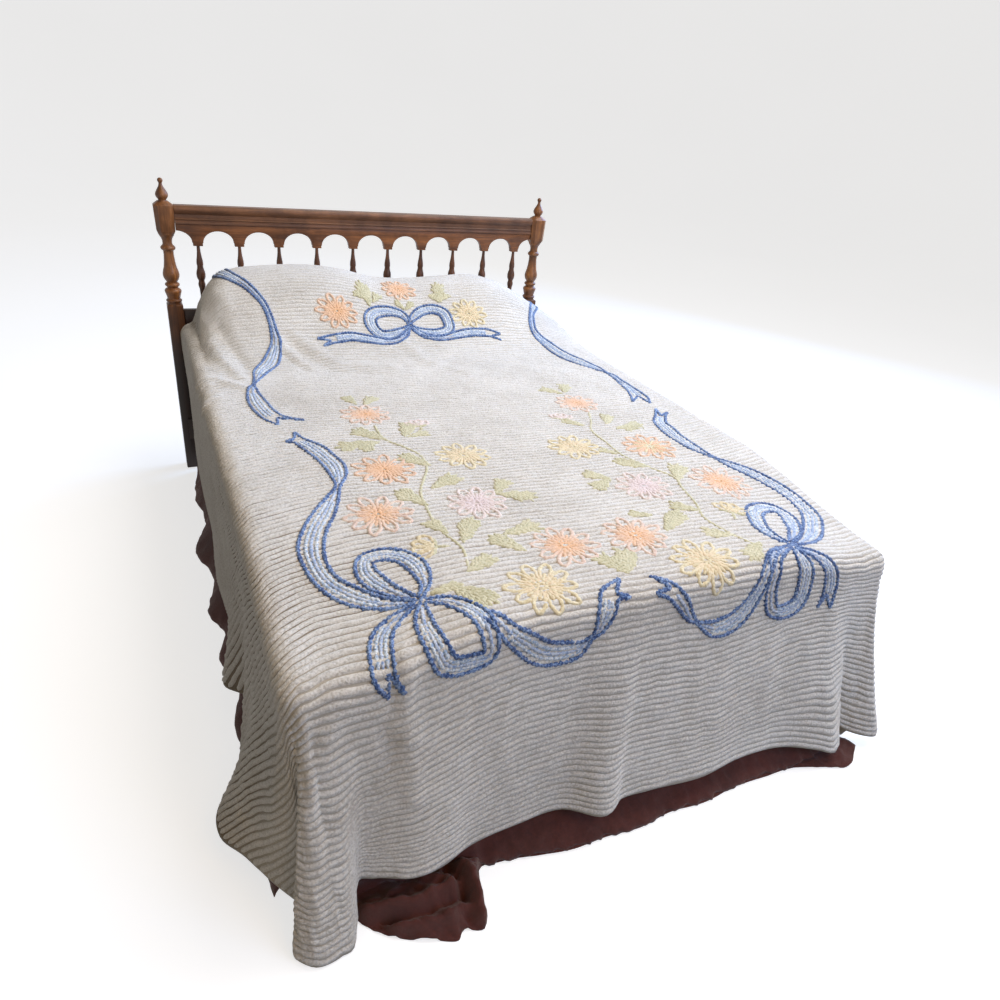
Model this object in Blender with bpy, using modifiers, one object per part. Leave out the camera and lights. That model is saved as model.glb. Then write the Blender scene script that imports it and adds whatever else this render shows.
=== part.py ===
"""A tufted chenille bedspread draped over a full size bed.

The bed is a box spring and mattress on a low steel frame, with two pillows, a plain cloth
skirt and a turned wooden headboard. Metres, +Z up, head of the bed towards +Y. The origin
is on the floor, at the middle of the whole. "down" is a distance from the headboard's
centre line towards the foot, so y = HEAD_Y - down.
"""

import math

import bmesh
import bpy
import numpy as np

TOUCH = 0.0003  # gap between faces that touch

# The bed
HEAD_Y = 1.0361
BED_X = -0.012  # the bed stands a little left of the headboard's middle
MATTRESS_HALF = 0.674
MATTRESS_DOWN = (0.045, 1.932)
MATTRESS_TOP = 0.5959
MATTRESS_THICK = 0.22
MATTRESS_ROUND = 0.05
MATTRESS_SAG = 1.15  # its corners sink this many times as far as the spread's
MATTRESS_LINES = (0.43, 0.52, 0.61, 0.70, 0.79, 0.88)  # shares of its half width
MATTRESS_CROSS_LINES = (0.14, 0.22, 0.30, 0.38, 1.42, 1.51, 1.60, 1.69, 1.78, 1.85)  # distances down
MATTRESS_HEAD_SAG = (0.060, 0.44, 0.60, 0.10, 0.46)
SPRING_HALF = 0.669
SPRING_DOWN = (0.050, 1.928)
SPRING_THICK = 0.19
SPRING_ROUND = 0.025
RAIL_SIZE = (0.030, 0.022)  # width and height of a frame rail
RAIL_X = 0.645
CROSS_DOWN = (0.42, 1.62)
LEG_SIZE = 0.034
BRACKET_THICK = 0.006

# The spread, as cut: half its width, and its drop below the foot's edge
CLOTH_THICK = 0.003
CLOTH_HALF = 1.195
CLOTH_DROP = 0.540
TOP_HALF = 0.652  # where the flat top starts to turn over the side
TOP_DOWN = 1.910  # where it starts to turn over the foot
TOP_Z = 0.598
EDGE_ROUND = 0.040
CORNER_SAG = 0.055
SAG_FROM_X = 0.30
SAG_FROM_DOWN = 1.42
# At the head's left corner a piece sinks this far, growing from and to these distances left of
# the bed's middle, and fading between these distances down
HEAD_SAG = (0.040, 0.50, 0.652, 0.06, 0.34)
CORNER_POWER = 6.0
FLOOR_CLEAR = 0.004

# Height of the pillows' crest under the cloth, across the bed
CREST = (  # x, rise
    (-0.720, 0.012),
    (-0.665, 0.034),
    (-0.645, 0.096),
    (-0.620, 0.146),
    (-0.585, 0.184),
    (-0.530, 0.198),
    (-0.430, 0.209),
    (-0.270, 0.213),
    (-0.160, 0.200),
    (-0.050, 0.173),
    (0.060, 0.166),
    (0.210, 0.174),
    (0.370, 0.178),
    (0.465, 0.150),
    (0.540, 0.111),
    (0.610, 0.070),
    (0.640, 0.050),
    (0.700, 0.020),
)
# Share of that crest, down the bed
CREST_SHARE = (  # down, share
    (0.040, 0.50),
    (0.080, 0.74),
    (0.130, 0.93),
    (0.190, 1.00),
    (0.270, 0.97),
    (0.350, 0.79),
    (0.430, 0.50),
    (0.520, 0.21),
    (0.600, 0.06),
    (0.680, 0.00),
)
# Where the hem hangs, from the left of the head round the foot to the right of the head.
# "along" is the distance along the hem from the middle of the foot, and a fold deepens with
# the power "growth" of the way down.
HEM = (  # along, x, down, z, growth
    (-3.59, -0.690, 0.110, 0.190, 1.25),
    (-3.34, -0.710, 0.325, 0.195, 1.25),
    (-3.14, -0.712, 0.515, 0.150, 1.25),
    (-2.89, -0.708, 0.765, 0.105, 1.25),
    (-2.66, -0.722, 0.990, 0.095, 1.25),
    (-2.50, -0.714, 1.160, 0.100, 1.25),
    (-2.38, -0.716, 1.285, 0.090, 1.60),
    (-2.29, -0.757, 1.380, 0.085, 2.40),
    (-2.21, -0.712, 1.450, 0.095, 1.90),
    (-2.15, -0.702, 1.505, 0.095, 1.50),
    (-2.08, -0.742, 1.580, 0.090, 1.80),
    (-2.00, -0.757, 1.655, 0.090, 2.20),
    (-1.91, -0.813, 1.740, 0.085, 2.40),
    (-1.85, -0.813, 1.795, 0.085, 2.20),
    (-1.77, -0.775, 1.855, 0.085, 1.80),
    (-1.70, -0.740, 1.915, 0.077, 1.50),
    (-1.62, -0.704, 1.960, 0.062, 1.25),
    (-1.40, -0.664, 1.980, 0.030, 1.25),
    (-1.00, -0.672, 2.000, 0.020, 1.25),
    (-0.82, -0.719, 2.030, 0.005, 1.25),
    (-0.75, -0.688, 2.056, 0.004, 1.25),
    (-0.68, -0.646, 2.054, 0.005, 1.25),
    (-0.62, -0.616, 2.040, 0.016, 1.25),
    (-0.58, -0.604, 1.990, 0.085, 1.25),
    (-0.52, -0.566, 1.990, 0.095, 1.25),
    (-0.46, -0.500, 2.014, 0.092, 1.25),
    (-0.40, -0.438, 2.012, 0.093, 1.25),
    (-0.35, -0.388, 1.995, 0.094, 1.25),
    (-0.24, -0.270, 1.984, 0.095, 1.25),
    (-0.15, -0.165, 1.986, 0.095, 1.25),
    (-0.07, -0.082, 2.030, 0.088, 1.25),
    (-0.02, -0.038, 2.010, 0.093, 1.25),
    (0.05, 0.040, 2.012, 0.092, 1.25),
    (0.18, 0.185, 2.024, 0.090, 1.25),
    (0.27, 0.295, 2.014, 0.092, 1.25),
    (0.36, 0.415, 2.020, 0.088, 1.25),
    (0.45, 0.520, 2.048, 0.068, 1.25),
    (0.50, 0.578, 2.062, 0.050, 1.25),
    (0.55, 0.622, 2.030, 0.055, 1.25),
    (0.58, 0.640, 2.004, 0.060, 1.25),
    (0.62, 0.664, 2.016, 0.050, 1.25),
    (0.68, 0.705, 2.040, 0.040, 1.25),
    (0.75, 0.745, 2.052, 0.034, 1.25),
    (0.82, 0.768, 2.030, 0.034, 1.25),
    (1.00, 0.712, 2.004, 0.030, 1.25),
    (1.40, 0.684, 1.976, 0.030, 1.25),
    (1.62, 0.712, 1.950, 0.050, 1.25),
    (1.70, 0.742, 1.905, 0.060, 1.50),
    (1.77, 0.778, 1.850, 0.070, 1.80),
    (1.84, 0.810, 1.785, 0.075, 2.20),
    (1.90, 0.815, 1.735, 0.080, 2.40),
    (2.08, 0.760, 1.570, 0.090, 1.80),
    (2.20, 0.722, 1.450, 0.095, 1.25),
    (2.36, 0.738, 1.290, 0.090, 1.25),
    (2.55, 0.700, 1.105, 0.100, 1.25),
    (2.75, 0.716, 0.905, 0.095, 1.25),
    (2.95, 0.698, 0.705, 0.105, 1.25),
    (3.15, 0.708, 0.505, 0.140, 1.25),
    (3.37, 0.696, 0.285, 0.160, 1.25),
    (3.59, 0.688, 0.110, 0.150, 1.25),
)
# The solid's columns, as shares of the top's half width and then of the side drop, and its
# rows, as distances down the bed and then past the foot's edge: (from, to, pieces)
TOP_COLUMNS = ((0.00, 0.68, 8), (0.68, 1.00, 7))
DROP_COLUMNS = ((0.00, 0.115, 2), (0.115, 0.52, 5), (0.52, 1.00, 3))
TOP_ROWS = ((0.047, 0.700, 13), (0.700, 1.420, 6), (1.420, 1.910, 8))
FOOT_ROWS = ((0.000, 0.063, 2), (0.063, 0.540, 10))

# Pillows: centre x, half length, half depth, height
PILLOWS = ((-0.325, 0.305, 0.235, 0.200), (0.325, 0.295, 0.235, 0.165))
PILLOW_DOWN = 0.305
PILLOW_CLEAR = 0.006

# The skirt: a cloth hung from the box spring's top edge down to the floor
SKIRT_THICK = 0.003
SKIRT_TOP = 0.352
SKIRT_HEM_Z = 0.004
SKIRT_ROWS = (0.0, 0.3, 0.6, 0.78, 0.84, 0.89, 0.94, 1.0)  # shares of the way down
POOL_ROWS = (0.2, 0.4, 0.6, 0.8, 1.0)  # then shares of the way across the floor
SKIRT_FLARE_Z = 0.080
# Where its hem stands on the floor: down the sides, measured from the bed's middle
SKIRT_SIDE = (  # down, out from the middle
    (0.060, 0.684),
    (0.300, 0.712),
    (0.480, 0.696),
    (0.650, 0.742),
    (0.820, 0.706),
    (1.000, 0.738),
    (1.090, 0.708),
    (1.190, 0.732),
    (1.310, 0.702),
    (1.450, 0.728),
    (1.600, 0.698),
    (1.780, 0.718),
    (1.900, 0.690),
)
# Across the foot, where a little of the cloth lies pooled in front of the hem
SKIRT_FOOT = (  # x, hem down, pool x, pool down, pool height
    (-0.655, 1.940, -0.658, 1.950, 0.002),
    (-0.600, 1.955, -0.604, 1.990, 0.012),
    (-0.555, 1.962, -0.582, 2.035, 0.038),
    (-0.500, 1.966, -0.528, 2.068, 0.052),
    (-0.450, 1.968, -0.458, 2.094, 0.050),
    (-0.400, 1.970, -0.393, 2.098, 0.036),
    (-0.365, 1.976, -0.368, 2.046, 0.014),
    (-0.340, 1.980, -0.350, 1.996, 0.005),
    (-0.300, 1.986, -0.300, 1.994, 0.002),
    (-0.220, 2.002, -0.220, 2.010, 0.002),
    (-0.150, 2.016, -0.150, 2.024, 0.002),
    (-0.060, 2.018, -0.060, 2.026, 0.002),
    (0.020, 2.026, 0.020, 2.034, 0.002),
    (0.110, 2.018, 0.110, 2.026, 0.002),
    (0.200, 2.026, 0.200, 2.034, 0.002),
    (0.300, 2.018, 0.300, 2.026, 0.002),
    (0.400, 2.020, 0.400, 2.030, 0.002),
    (0.480, 2.024, 0.488, 2.036, 0.003),
    (0.540, 2.026, 0.562, 2.062, 0.010),
    (0.590, 2.016, 0.630, 2.082, 0.018),
    (0.640, 1.960, 0.700, 2.040, 0.014),
)

# The headboard
POST_X = 0.710
POST_LEG = 0.052
POST_LEG_TOP = 0.637
POST_BLOCK = 0.062
POST_BLOCK_Z = (0.876, 0.964)
POST_CHAMFER = 0.012
POST_TURNING = (  # z, radius, from the finial down
    (1.0480, 0.0000),
    (1.0470, 0.0052),
    (1.0420, 0.0088),
    (1.0360, 0.0078),
    (1.0320, 0.0048),
    (1.0220, 0.0070),
    (1.0080, 0.0160),
    (0.9970, 0.0205),
    (0.9880, 0.0180),
    (0.9815, 0.0118),
    (0.9740, 0.0200),
    (0.9600, 0.0290),
    (0.8800, 0.0290),
    (0.8735, 0.0250),
    (0.8690, 0.0240),
    (0.8570, 0.0145),
    (0.8390, 0.0140),
    (0.8280, 0.0232),
    (0.8180, 0.0142),
    (0.7690, 0.0185),
    (0.7480, 0.0250),
    (0.7360, 0.0262),
    (0.7240, 0.0230),
    (0.7120, 0.0168),
    (0.7050, 0.0222),
    (0.6980, 0.0162),
    (0.6810, 0.0252),
    (0.6700, 0.0222),
    (0.6580, 0.0222),
    (0.6450, 0.0250),
    (0.6300, 0.0240),
    (0.6200, 0.0000),
)
SPINDLES = 10
SPINDLE_PITCH = 0.1363
SPINDLE_TURNING = (  # z, radius, top to bottom
    (0.8357, 0.0000),
    (0.8357, 0.0054),
    (0.8100, 0.0064),
    (0.7780, 0.0120),
    (0.7640, 0.0092),
    (0.7440, 0.0155),
    (0.7270, 0.0145),
    (0.7170, 0.0088),
    (0.7040, 0.0130),
    (0.6850, 0.0080),
    (0.6173, 0.0085),
    (0.6173, 0.0000),
)
APRON_Z = (0.836, 0.9057)
APRON_THICK = 0.022
ARCH_TOP = 0.886
PENDANT_HALF = 0.0155
ARCH_STEPS = 8
TOP_RAIL_PROFILE = (  # half depth, z: one side of the moulded rail
    (0.0130, 0.906),
    (0.0165, 0.909),
    (0.0165, 0.914),
    (0.0135, 0.918),
    (0.0135, 0.938),
    (0.0160, 0.944),
    (0.0195, 0.948),
    (0.0210, 0.955),
    (0.0195, 0.963),
    (0.0150, 0.967),
)
BOARD_Z = (0.450, 0.617)
BOARD_THICK = 0.024
ROUND_STEPS = 14
SPINDLE_STEPS = 9

COLOURS = {  # name: red, green, blue, roughness, metallic
    "chenille": (0.62, 0.57, 0.50, 0.95, 0.0),
    "skirt_cloth": (0.075, 0.018, 0.016, 0.90, 0.0),
    "ticking": (0.66, 0.64, 0.60, 0.90, 0.0),
    "pillow_cloth": (0.72, 0.71, 0.68, 0.90, 0.0),
    "brown_wood": (0.110, 0.042, 0.018, 0.45, 0.0),
    "dark_wood": (0.035, 0.016, 0.010, 0.50, 0.0),
    "steel": (0.09, 0.09, 0.09, 0.50, 0.9),
}


def clear_scene():
    for obj in list(bpy.data.objects):
        bpy.data.objects.remove(obj, do_unlink=True)


def make_collection(name, hidden=False):
    collection = bpy.data.collections.new(name)
    bpy.context.scene.collection.children.link(collection)
    collection.hide_render = hidden
    return collection


def make_materials():
    made = {}
    for name, (red, green, blue, roughness, metallic) in COLOURS.items():
        material = bpy.data.materials.new(name)
        material.use_nodes = True
        shader = material.node_tree.nodes["Principled BSDF"]
        shader.inputs["Base Color"].default_value = (red, green, blue, 1.0)
        shader.inputs["Roughness"].default_value = roughness
        shader.inputs["Metallic"].default_value = metallic
        made[name] = material
    return made


def add_object(name, mesh, collection, material=None, smooth_angle=None):
    obj = bpy.data.objects.new(name, mesh)
    collection.objects.link(obj)
    if material:
        mesh.materials.append(material)
    if smooth_angle is not None:
        mesh.shade_smooth()
        mesh.set_sharp_from_angle(angle=math.radians(smooth_angle))
    return obj


def add_helper(name, mesh, collection):
    obj = add_object(name, mesh, collection)
    obj.hide_render = True
    obj.display_type = "WIRE"
    return obj


def box_mesh(name, low, high):
    made = bmesh.new()
    bmesh.ops.create_cube(made, size=1.0)
    for vert in made.verts:
        for axis in range(3):
            middle = (low[axis] + high[axis]) / 2
            vert.co[axis] = middle + vert.co[axis] * (high[axis] - low[axis])
    mesh = bpy.data.meshes.new(name)
    made.to_mesh(mesh)
    made.free()
    return mesh


def add_bevel(obj, width, segments=1, angle=30.0):
    bevel = obj.modifiers.new("bevel", "BEVEL")
    bevel.width = width
    bevel.segments = segments
    bevel.limit_method = "ANGLE"
    bevel.angle_limit = math.radians(angle)
    return bevel


def turned_mesh(name, profile):
    """A profile of (z, radius) rows, top to bottom, turned round Z by a Screw modifier."""
    made = bmesh.new()
    verts = [made.verts.new((radius, 0.0, z)) for z, radius in profile]
    for upper, lower in zip(verts, verts[1:]):
        made.edges.new((upper, lower))
    mesh = bpy.data.meshes.new(name)
    made.to_mesh(mesh)
    made.free()
    return mesh


def add_screw(obj, steps):
    screw = obj.modifiers.new("turning", "SCREW")
    screw.axis = "Z"
    screw.steps = steps
    screw.render_steps = steps
    screw.use_merge_vertices = True
    screw.merge_threshold = 0.00005
    screw.use_smooth_shade = True
    return screw


def add_union(obj, other):
    union = obj.modifiers.new("join_" + other.name, "BOOLEAN")
    union.operation = "UNION"
    union.solver = "EXACT"
    union.object = other
    return union


def smooth_step(value, start, end):
    share = np.clip((value - start) / (end - start), 0.0, 1.0)
    return share * share * (3.0 - 2.0 * share)


def curve_through(rows, column, value):
    """Reads a smooth curve through a table's rows (cubic, with its slopes from the rows beside)."""
    table = np.array(rows, float)
    place, height = table[:, 0], table[:, column]
    slope = np.gradient(height, place)
    value = np.clip(value, place[0], place[-1])
    row = np.clip(np.searchsorted(place, value) - 1, 0, len(place) - 2)
    step = place[row + 1] - place[row]
    share = (value - place[row]) / step
    rise = height[row + 1] - height[row]
    ease = share * share * (3.0 - 2.0 * share)
    start_pull = step * slope[row] * share * (1.0 - share) ** 2
    end_pull = step * slope[row + 1] * share * share * (share - 1.0)
    return height[row] + rise * ease + start_pull + end_pull


def corner_sag(x, down):
    across = smooth_step(np.abs(x - BED_X), SAG_FROM_X, TOP_HALF)
    return CORNER_SAG * across * smooth_step(down, SAG_FROM_DOWN, TOP_DOWN)


def head_sag(x, down, sizes):
    depth, start_x, end_x, near, far = sizes
    return depth * smooth_step(BED_X - x, start_x, end_x) * (1.0 - smooth_step(down, near, far))


def top_height(x, down):
    """Height of the spread where it lies on the pillows and the mattress."""
    crest = curve_through(CREST, 1, x) * curve_through(CREST_SHARE, 1, down)
    return TOP_Z + crest - corner_sag(x, down) - head_sag(x, down, HEAD_SAG)


def drop_point(edge, out, along, length, full_length):
    """A point of the cloth that hangs below an edge, length down from where the flat top ends.

    edge is where the flat top ends (x, down, z), and out is the way that it turns (x, down).
    """
    turn = EDGE_ROUND * math.pi / 2
    angle = np.clip(length / EDGE_ROUND, 0.0, math.pi / 2)
    reach = EDGE_ROUND * np.sin(angle)
    dip = EDGE_ROUND * (1.0 - np.cos(angle))
    share = np.maximum(length - turn, 0.0) / np.maximum(full_length - turn, 0.01)
    grown = share ** curve_through(HEM, 4, along)
    x = edge[0] + out[0] * reach
    down = edge[1] + out[1] * reach
    fall = edge[2] - EDGE_ROUND - curve_through(HEM, 3, along)
    return (
        x + (curve_through(HEM, 1, along) - edge[0] - out[0] * EDGE_ROUND) * grown,
        down + (curve_through(HEM, 2, along) - edge[1] - out[1] * EDGE_ROUND) * grown,
        np.maximum(edge[2] - dip - fall * share, FLOOR_CLEAR),
    )


def top_lengths(down):
    """Distances out from the bed's middle, and the cloth's length to each, on either side."""
    out = np.linspace(0.0, TOP_HALF, 120)
    lengths = {}
    for side in (-1.0, 1.0):
        heights = top_height(BED_X + side * out, down)
        steps = np.hypot(np.diff(out), np.diff(heights))
        lengths[side] = np.concatenate([[0.0], np.cumsum(steps)])
    return out, lengths


def drape_row(across, down, past):
    """The points of one row of the spread, at these distances across it.

    down is where the row crosses the top, and past is how far it is beyond the foot's edge.
    """
    out, lengths = top_lengths(down)
    side = np.where(across < 0.0, -1.0, 1.0)
    top_length = np.where(side < 0.0, lengths[-1.0][-1], lengths[1.0][-1])
    flat = np.where(
        side < 0.0,
        np.interp(np.abs(across), lengths[-1.0], out),
        np.interp(np.abs(across), lengths[1.0], out),
    )
    beyond = np.maximum(np.abs(across) - top_length, 0.0)
    length = (beyond**CORNER_POWER + past**CORNER_POWER) ** (1.0 / CORNER_POWER)
    angle = np.arctan2(past, np.maximum(beyond, 1e-9))
    near_side = CLOTH_DROP * np.tan(np.minimum(angle, math.pi / 4))
    near_foot = CLOTH_DROP * (2.0 - beyond / max(past, 1e-9))
    round_corner = np.where(angle < math.pi / 4, near_side, near_foot)
    along_side = TOP_HALF + 2.0 * CLOTH_DROP - round_corner + TOP_DOWN - down
    along = side * np.where(beyond > 0.0, along_side, flat)
    x = BED_X + side * flat
    edge = (x, down, top_height(x, down))
    turned = (np.where(beyond > 0.0, side * np.cos(angle), 0.0), np.sin(angle) * (past > 0.0))
    full_length = CLOTH_DROP if past > 0.0 else CLOTH_HALF - top_length
    return drop_point(edge, turned, along, length, full_length)


def steps_of(table):
    """The places that a table of (from, to, pieces) rows gives."""
    places = [table[0][0]]
    for start, end, pieces in table:
        places.extend(np.linspace(start, end, pieces + 1)[1:])
    return np.array(places)


def across_of(down):
    """The places of the solid's columns across the cloth, on the row at this distance down."""
    lengths = top_lengths(down)[1]
    left, right = lengths[-1.0][-1], lengths[1.0][-1]
    top = steps_of(TOP_COLUMNS)
    drop = steps_of(DROP_COLUMNS)[1:]
    left_half = np.concatenate([top * left, left + drop * (CLOTH_HALF - left)])
    right_half = np.concatenate([top * right, right + drop * (CLOTH_HALF - right)])
    return np.concatenate([-left_half[:0:-1], right_half])


def add_spread(collection, material):
    """The spread: one sheet, moved onto its drape from a flat grid and given its thickness."""
    rows = [(down, 0.0) for down in steps_of(TOP_ROWS)]
    rows += [(TOP_DOWN, past) for past in steps_of(FOOT_ROWS)[1:]]
    columns = len(across_of(TOP_DOWN))
    made = bmesh.new()
    bmesh.ops.create_grid(made, x_segments=columns - 1, y_segments=len(rows) - 1, size=1.0)
    made.verts.ensure_lookup_table()
    for row, (down, past) in enumerate(rows):
        x, at_down, z = drape_row(across_of(down), down, past)
        for column in range(columns):
            vert = made.verts[row * columns + column]
            vert.co = (x[column], HEAD_Y - at_down[column], z[column])
    bmesh.ops.reverse_faces(made, faces=made.faces)
    mesh = bpy.data.meshes.new("bedspread")
    made.to_mesh(mesh)
    made.free()
    obj = add_object("bedspread", mesh, collection, material, smooth_angle=80)
    thick = obj.modifiers.new("thickness", "SOLIDIFY")
    thick.thickness = CLOTH_THICK
    thick.offset = 0.0
    thick.use_even_offset = True


def sheet_solid(name, columns, rows, place, collection, material):
    """A hung sheet: a flat grid whose points place(column, row) puts where they hang."""
    made = bmesh.new()
    bmesh.ops.create_grid(
        made, x_segments=len(columns) - 1, y_segments=len(rows) - 1, size=1.0
    )
    made.verts.ensure_lookup_table()
    for row, height in enumerate(rows):
        for column, along in enumerate(columns):
            x, down, z = place(along, height)
            made.verts[row * len(columns) + column].co = (x, HEAD_Y - down, z)
    mesh = bpy.data.meshes.new(name)
    made.to_mesh(mesh)
    made.free()
    obj = add_object(name, mesh, collection, material, smooth_angle=80)
    thick = obj.modifiers.new("thickness", "SOLIDIFY")
    thick.thickness = SKIRT_THICK
    thick.offset = 0.0
    return obj


def skirt_out(share, hem_away):
    """How far the skirt stands off the box spring: close above, flared below the spread."""
    start = 1.0 - (SKIRT_FLARE_Z - SKIRT_HEM_Z) / (SKIRT_TOP - SKIRT_HEM_Z)
    flare = smooth_step(share, start, 1.0)
    return TOUCH + SKIRT_THICK / 2 + 0.004 * share + hem_away * flare


def add_skirts(collection, material):
    rows = np.array(SKIRT_ROWS)
    for side, name in ((-1.0, "skirt_left"), (1.0, "skirt_right")):
        downs = np.linspace(SKIRT_SIDE[0][0], SKIRT_SIDE[-1][0], 27)

        def side_place(down, share, side=side):
            away = float(curve_through(SKIRT_SIDE, 1, down)) - SPRING_HALF
            z = SKIRT_TOP + (SKIRT_HEM_Z - SKIRT_TOP) * share
            return BED_X + side * (SPRING_HALF + skirt_out(share, away)), down, z

        sheet_solid(name, downs, rows, side_place, collection, material)
    across = np.linspace(SKIRT_FOOT[0][0], SKIRT_FOOT[-1][0], 41)
    pooled = np.concatenate([rows, 1.0 + np.array(POOL_ROWS)])

    def foot_place(x, share):
        hem_down, pool_x, pool_down, height = (
            float(curve_through(SKIRT_FOOT, column, x)) for column in (1, 2, 3, 4)
        )
        over = max(share - 1.0, 0.0)
        hem_z = SKIRT_HEM_Z + height * math.sin(math.pi / 6)
        if over > 0.0:
            z = SKIRT_HEM_Z + height * math.sin(math.pi * (1 + 5 * over) / 6)
            return x + (pool_x - x) * over, hem_down + (pool_down - hem_down) * over, z
        down = SPRING_DOWN[1] + skirt_out(share, hem_down - SPRING_DOWN[1])
        return x, down, SKIRT_TOP + (hem_z - SKIRT_TOP) * share

    sheet_solid("skirt_foot", across, pooled, foot_place, collection, material)


def cut_lines(made, places, normal):
    """Adds lines across a closed form, so that its top can follow the sag."""
    for place in places:
        bmesh.ops.bisect_plane(
            made,
            geom=list(made.verts) + list(made.edges) + list(made.faces),
            plane_co=place,
            plane_no=normal,
        )


def add_mattress(collection, material):
    low = (BED_X - MATTRESS_HALF, HEAD_Y - MATTRESS_DOWN[1], MATTRESS_TOP - MATTRESS_THICK)
    high = (BED_X + MATTRESS_HALF, HEAD_Y - MATTRESS_DOWN[0], MATTRESS_TOP)
    mesh = box_mesh("mattress", low, high)
    made = bmesh.new()
    made.from_mesh(mesh)
    bmesh.ops.bevel(
        made,
        geom=list(made.edges),
        offset=MATTRESS_ROUND,
        segments=3,
        profile=0.5,
        affect="EDGES",
    )
    outs = [side * MATTRESS_HALF * share for side in (-1, 1) for share in MATTRESS_LINES]
    cut_lines(made, [(BED_X + out, 0, 0) for out in outs], (1, 0, 0))
    cut_lines(made, [(0, HEAD_Y - down, 0) for down in MATTRESS_CROSS_LINES], (0, 1, 0))
    middle = MATTRESS_TOP - MATTRESS_THICK / 2
    for vert in made.verts:
        if vert.co.z > middle:
            down = HEAD_Y - vert.co.y
            vert.co.z -= MATTRESS_SAG * float(corner_sag(vert.co.x, down))
            vert.co.z -= float(head_sag(vert.co.x, down, MATTRESS_HEAD_SAG))
    made.to_mesh(mesh)
    made.free()
    add_object("mattress", mesh, collection, material, smooth_angle=50)


def add_box_spring(collection, material):
    top = MATTRESS_TOP - MATTRESS_THICK - TOUCH
    low = (BED_X - SPRING_HALF, HEAD_Y - SPRING_DOWN[1], top - SPRING_THICK)
    high = (BED_X + SPRING_HALF, HEAD_Y - SPRING_DOWN[0], top)
    obj = add_object("box_spring", box_mesh("box_spring", low, high), collection, material)
    add_bevel(obj, SPRING_ROUND * 0.4, segments=2)
    return low[2]


def add_frame(collection, material, under):
    """Two side rails and two cross rails on four legs, and a bracket to each headboard post."""
    width, height = RAIL_SIZE
    top = under - TOUCH
    rail_head = HEAD_Y - POST_LEG / 2 - TOUCH - BRACKET_THICK - TOUCH
    rail_foot = HEAD_Y - 1.85
    for side, name in ((-1, "left"), (1, "right")):
        inner = BED_X + side * RAIL_X - width / 2
        low = (inner, rail_foot, top - height)
        high = (inner + width, rail_head, top)
        add_object("frame_rail_" + name, box_mesh("rail", low, high), collection, material)
        post_outer = side * (POST_X - POST_LEG / 2 + 0.030)
        ends = sorted((BED_X + side * (RAIL_X - width / 2), post_outer))
        low = (ends[0], rail_head + TOUCH, top - 0.060)
        high = (ends[1], rail_head + TOUCH + BRACKET_THICK, top + 0.020)
        add_object("frame_bracket_" + name, box_mesh("bracket", low, high), collection, material)
    lower = top - height - TOUCH
    for number, down in enumerate(CROSS_DOWN):
        y = HEAD_Y - down
        place = ("head", "foot")[number]
        low = (BED_X - RAIL_X - width / 2, y - width / 2, lower - height)
        high = (BED_X + RAIL_X + width / 2, y + width / 2, lower)
        add_object("frame_cross_" + place, box_mesh("cross", low, high), collection, material)
        for side, name in ((-1, "left"), (1, "right")):
            half = LEG_SIZE / 2
            x = BED_X + side * (RAIL_X - 0.05)
            low = (x - half, y - half, 0.0)
            high = (x + half, y + half, lower - height - TOUCH)
            leg = add_object(
                "frame_leg_" + place + "_" + name, box_mesh("leg", low, high), collection, material
            )
            add_bevel(leg, 0.003)


def add_pillows(collection, material):
    """Two filled pillows, crowned in the middle and pinched towards their edges."""
    for number, (x, half_x, half_y, height) in enumerate(PILLOWS):
        made = bmesh.new()
        bmesh.ops.create_cube(made, size=2.0)
        bmesh.ops.subdivide_edges(made, edges=list(made.edges), cuts=7, use_grid_fill=True)
        base = MATTRESS_TOP + TOUCH
        for vert in made.verts:
            across, deep, up = vert.co
            pinch = (1.0 - 0.82 * across**6) * (1.0 - 0.82 * deep**6)
            pull = 1.0 - 0.05 * (across * across + deep * deep)
            at_x = x + across * half_x * pull
            down = PILLOW_DOWN - deep * half_y * pull
            cloth = float(top_height(np.array([at_x]), np.array([down]))[0])
            share = (up + 1.0) / 2.0 * pinch
            ceiling = min(height, cloth - PILLOW_CLEAR - base)
            vert.co = (at_x, HEAD_Y - down, base + ceiling * share)
        name = ("pillow_left", "pillow_right")[number]
        mesh = bpy.data.meshes.new(name)
        made.to_mesh(mesh)
        made.free()
        add_object(name, mesh, collection, material, smooth_angle=60)


def add_posts(collection, helpers, material):
    """Each post: a square leg and a chamfered block, joined to what is turned between them."""
    half = POST_LEG / 2
    block = POST_BLOCK / 2
    for side, name in ((-1, "left"), (1, "right")):
        x = side * POST_X
        post = add_object(
            "headboard_post_" + name,
            turned_mesh("post_turning", POST_TURNING),
            collection,
            material,
        )
        post.location = (x, HEAD_Y, 0.0)
        add_screw(post, ROUND_STEPS)
        leg = add_helper(
            "post_leg_" + name,
            box_mesh("leg", (x - half, HEAD_Y - half, 0.0), (x + half, HEAD_Y + half, POST_LEG_TOP)),
            helpers,
        )
        add_bevel(leg, 0.004)
        low = (x - block, HEAD_Y - block, POST_BLOCK_Z[0])
        high = (x + block, HEAD_Y + block, POST_BLOCK_Z[1])
        body = add_helper("post_block_" + name, box_mesh("block", low, high), helpers)
        add_bevel(body, POST_CHAMFER)
        add_union(post, leg)
        add_union(post, body)


def add_spindles(collection, material):
    mesh = turned_mesh("spindle", SPINDLE_TURNING)
    mesh.materials.append(material)
    for number in range(SPINDLES):
        x = (number - (SPINDLES - 1) / 2) * SPINDLE_PITCH
        spindle = add_object("spindle_" + str(number + 1).zfill(2), mesh, collection)
        spindle.location = (x, HEAD_Y, 0.0)
        add_screw(spindle, SPINDLE_STEPS)


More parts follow.
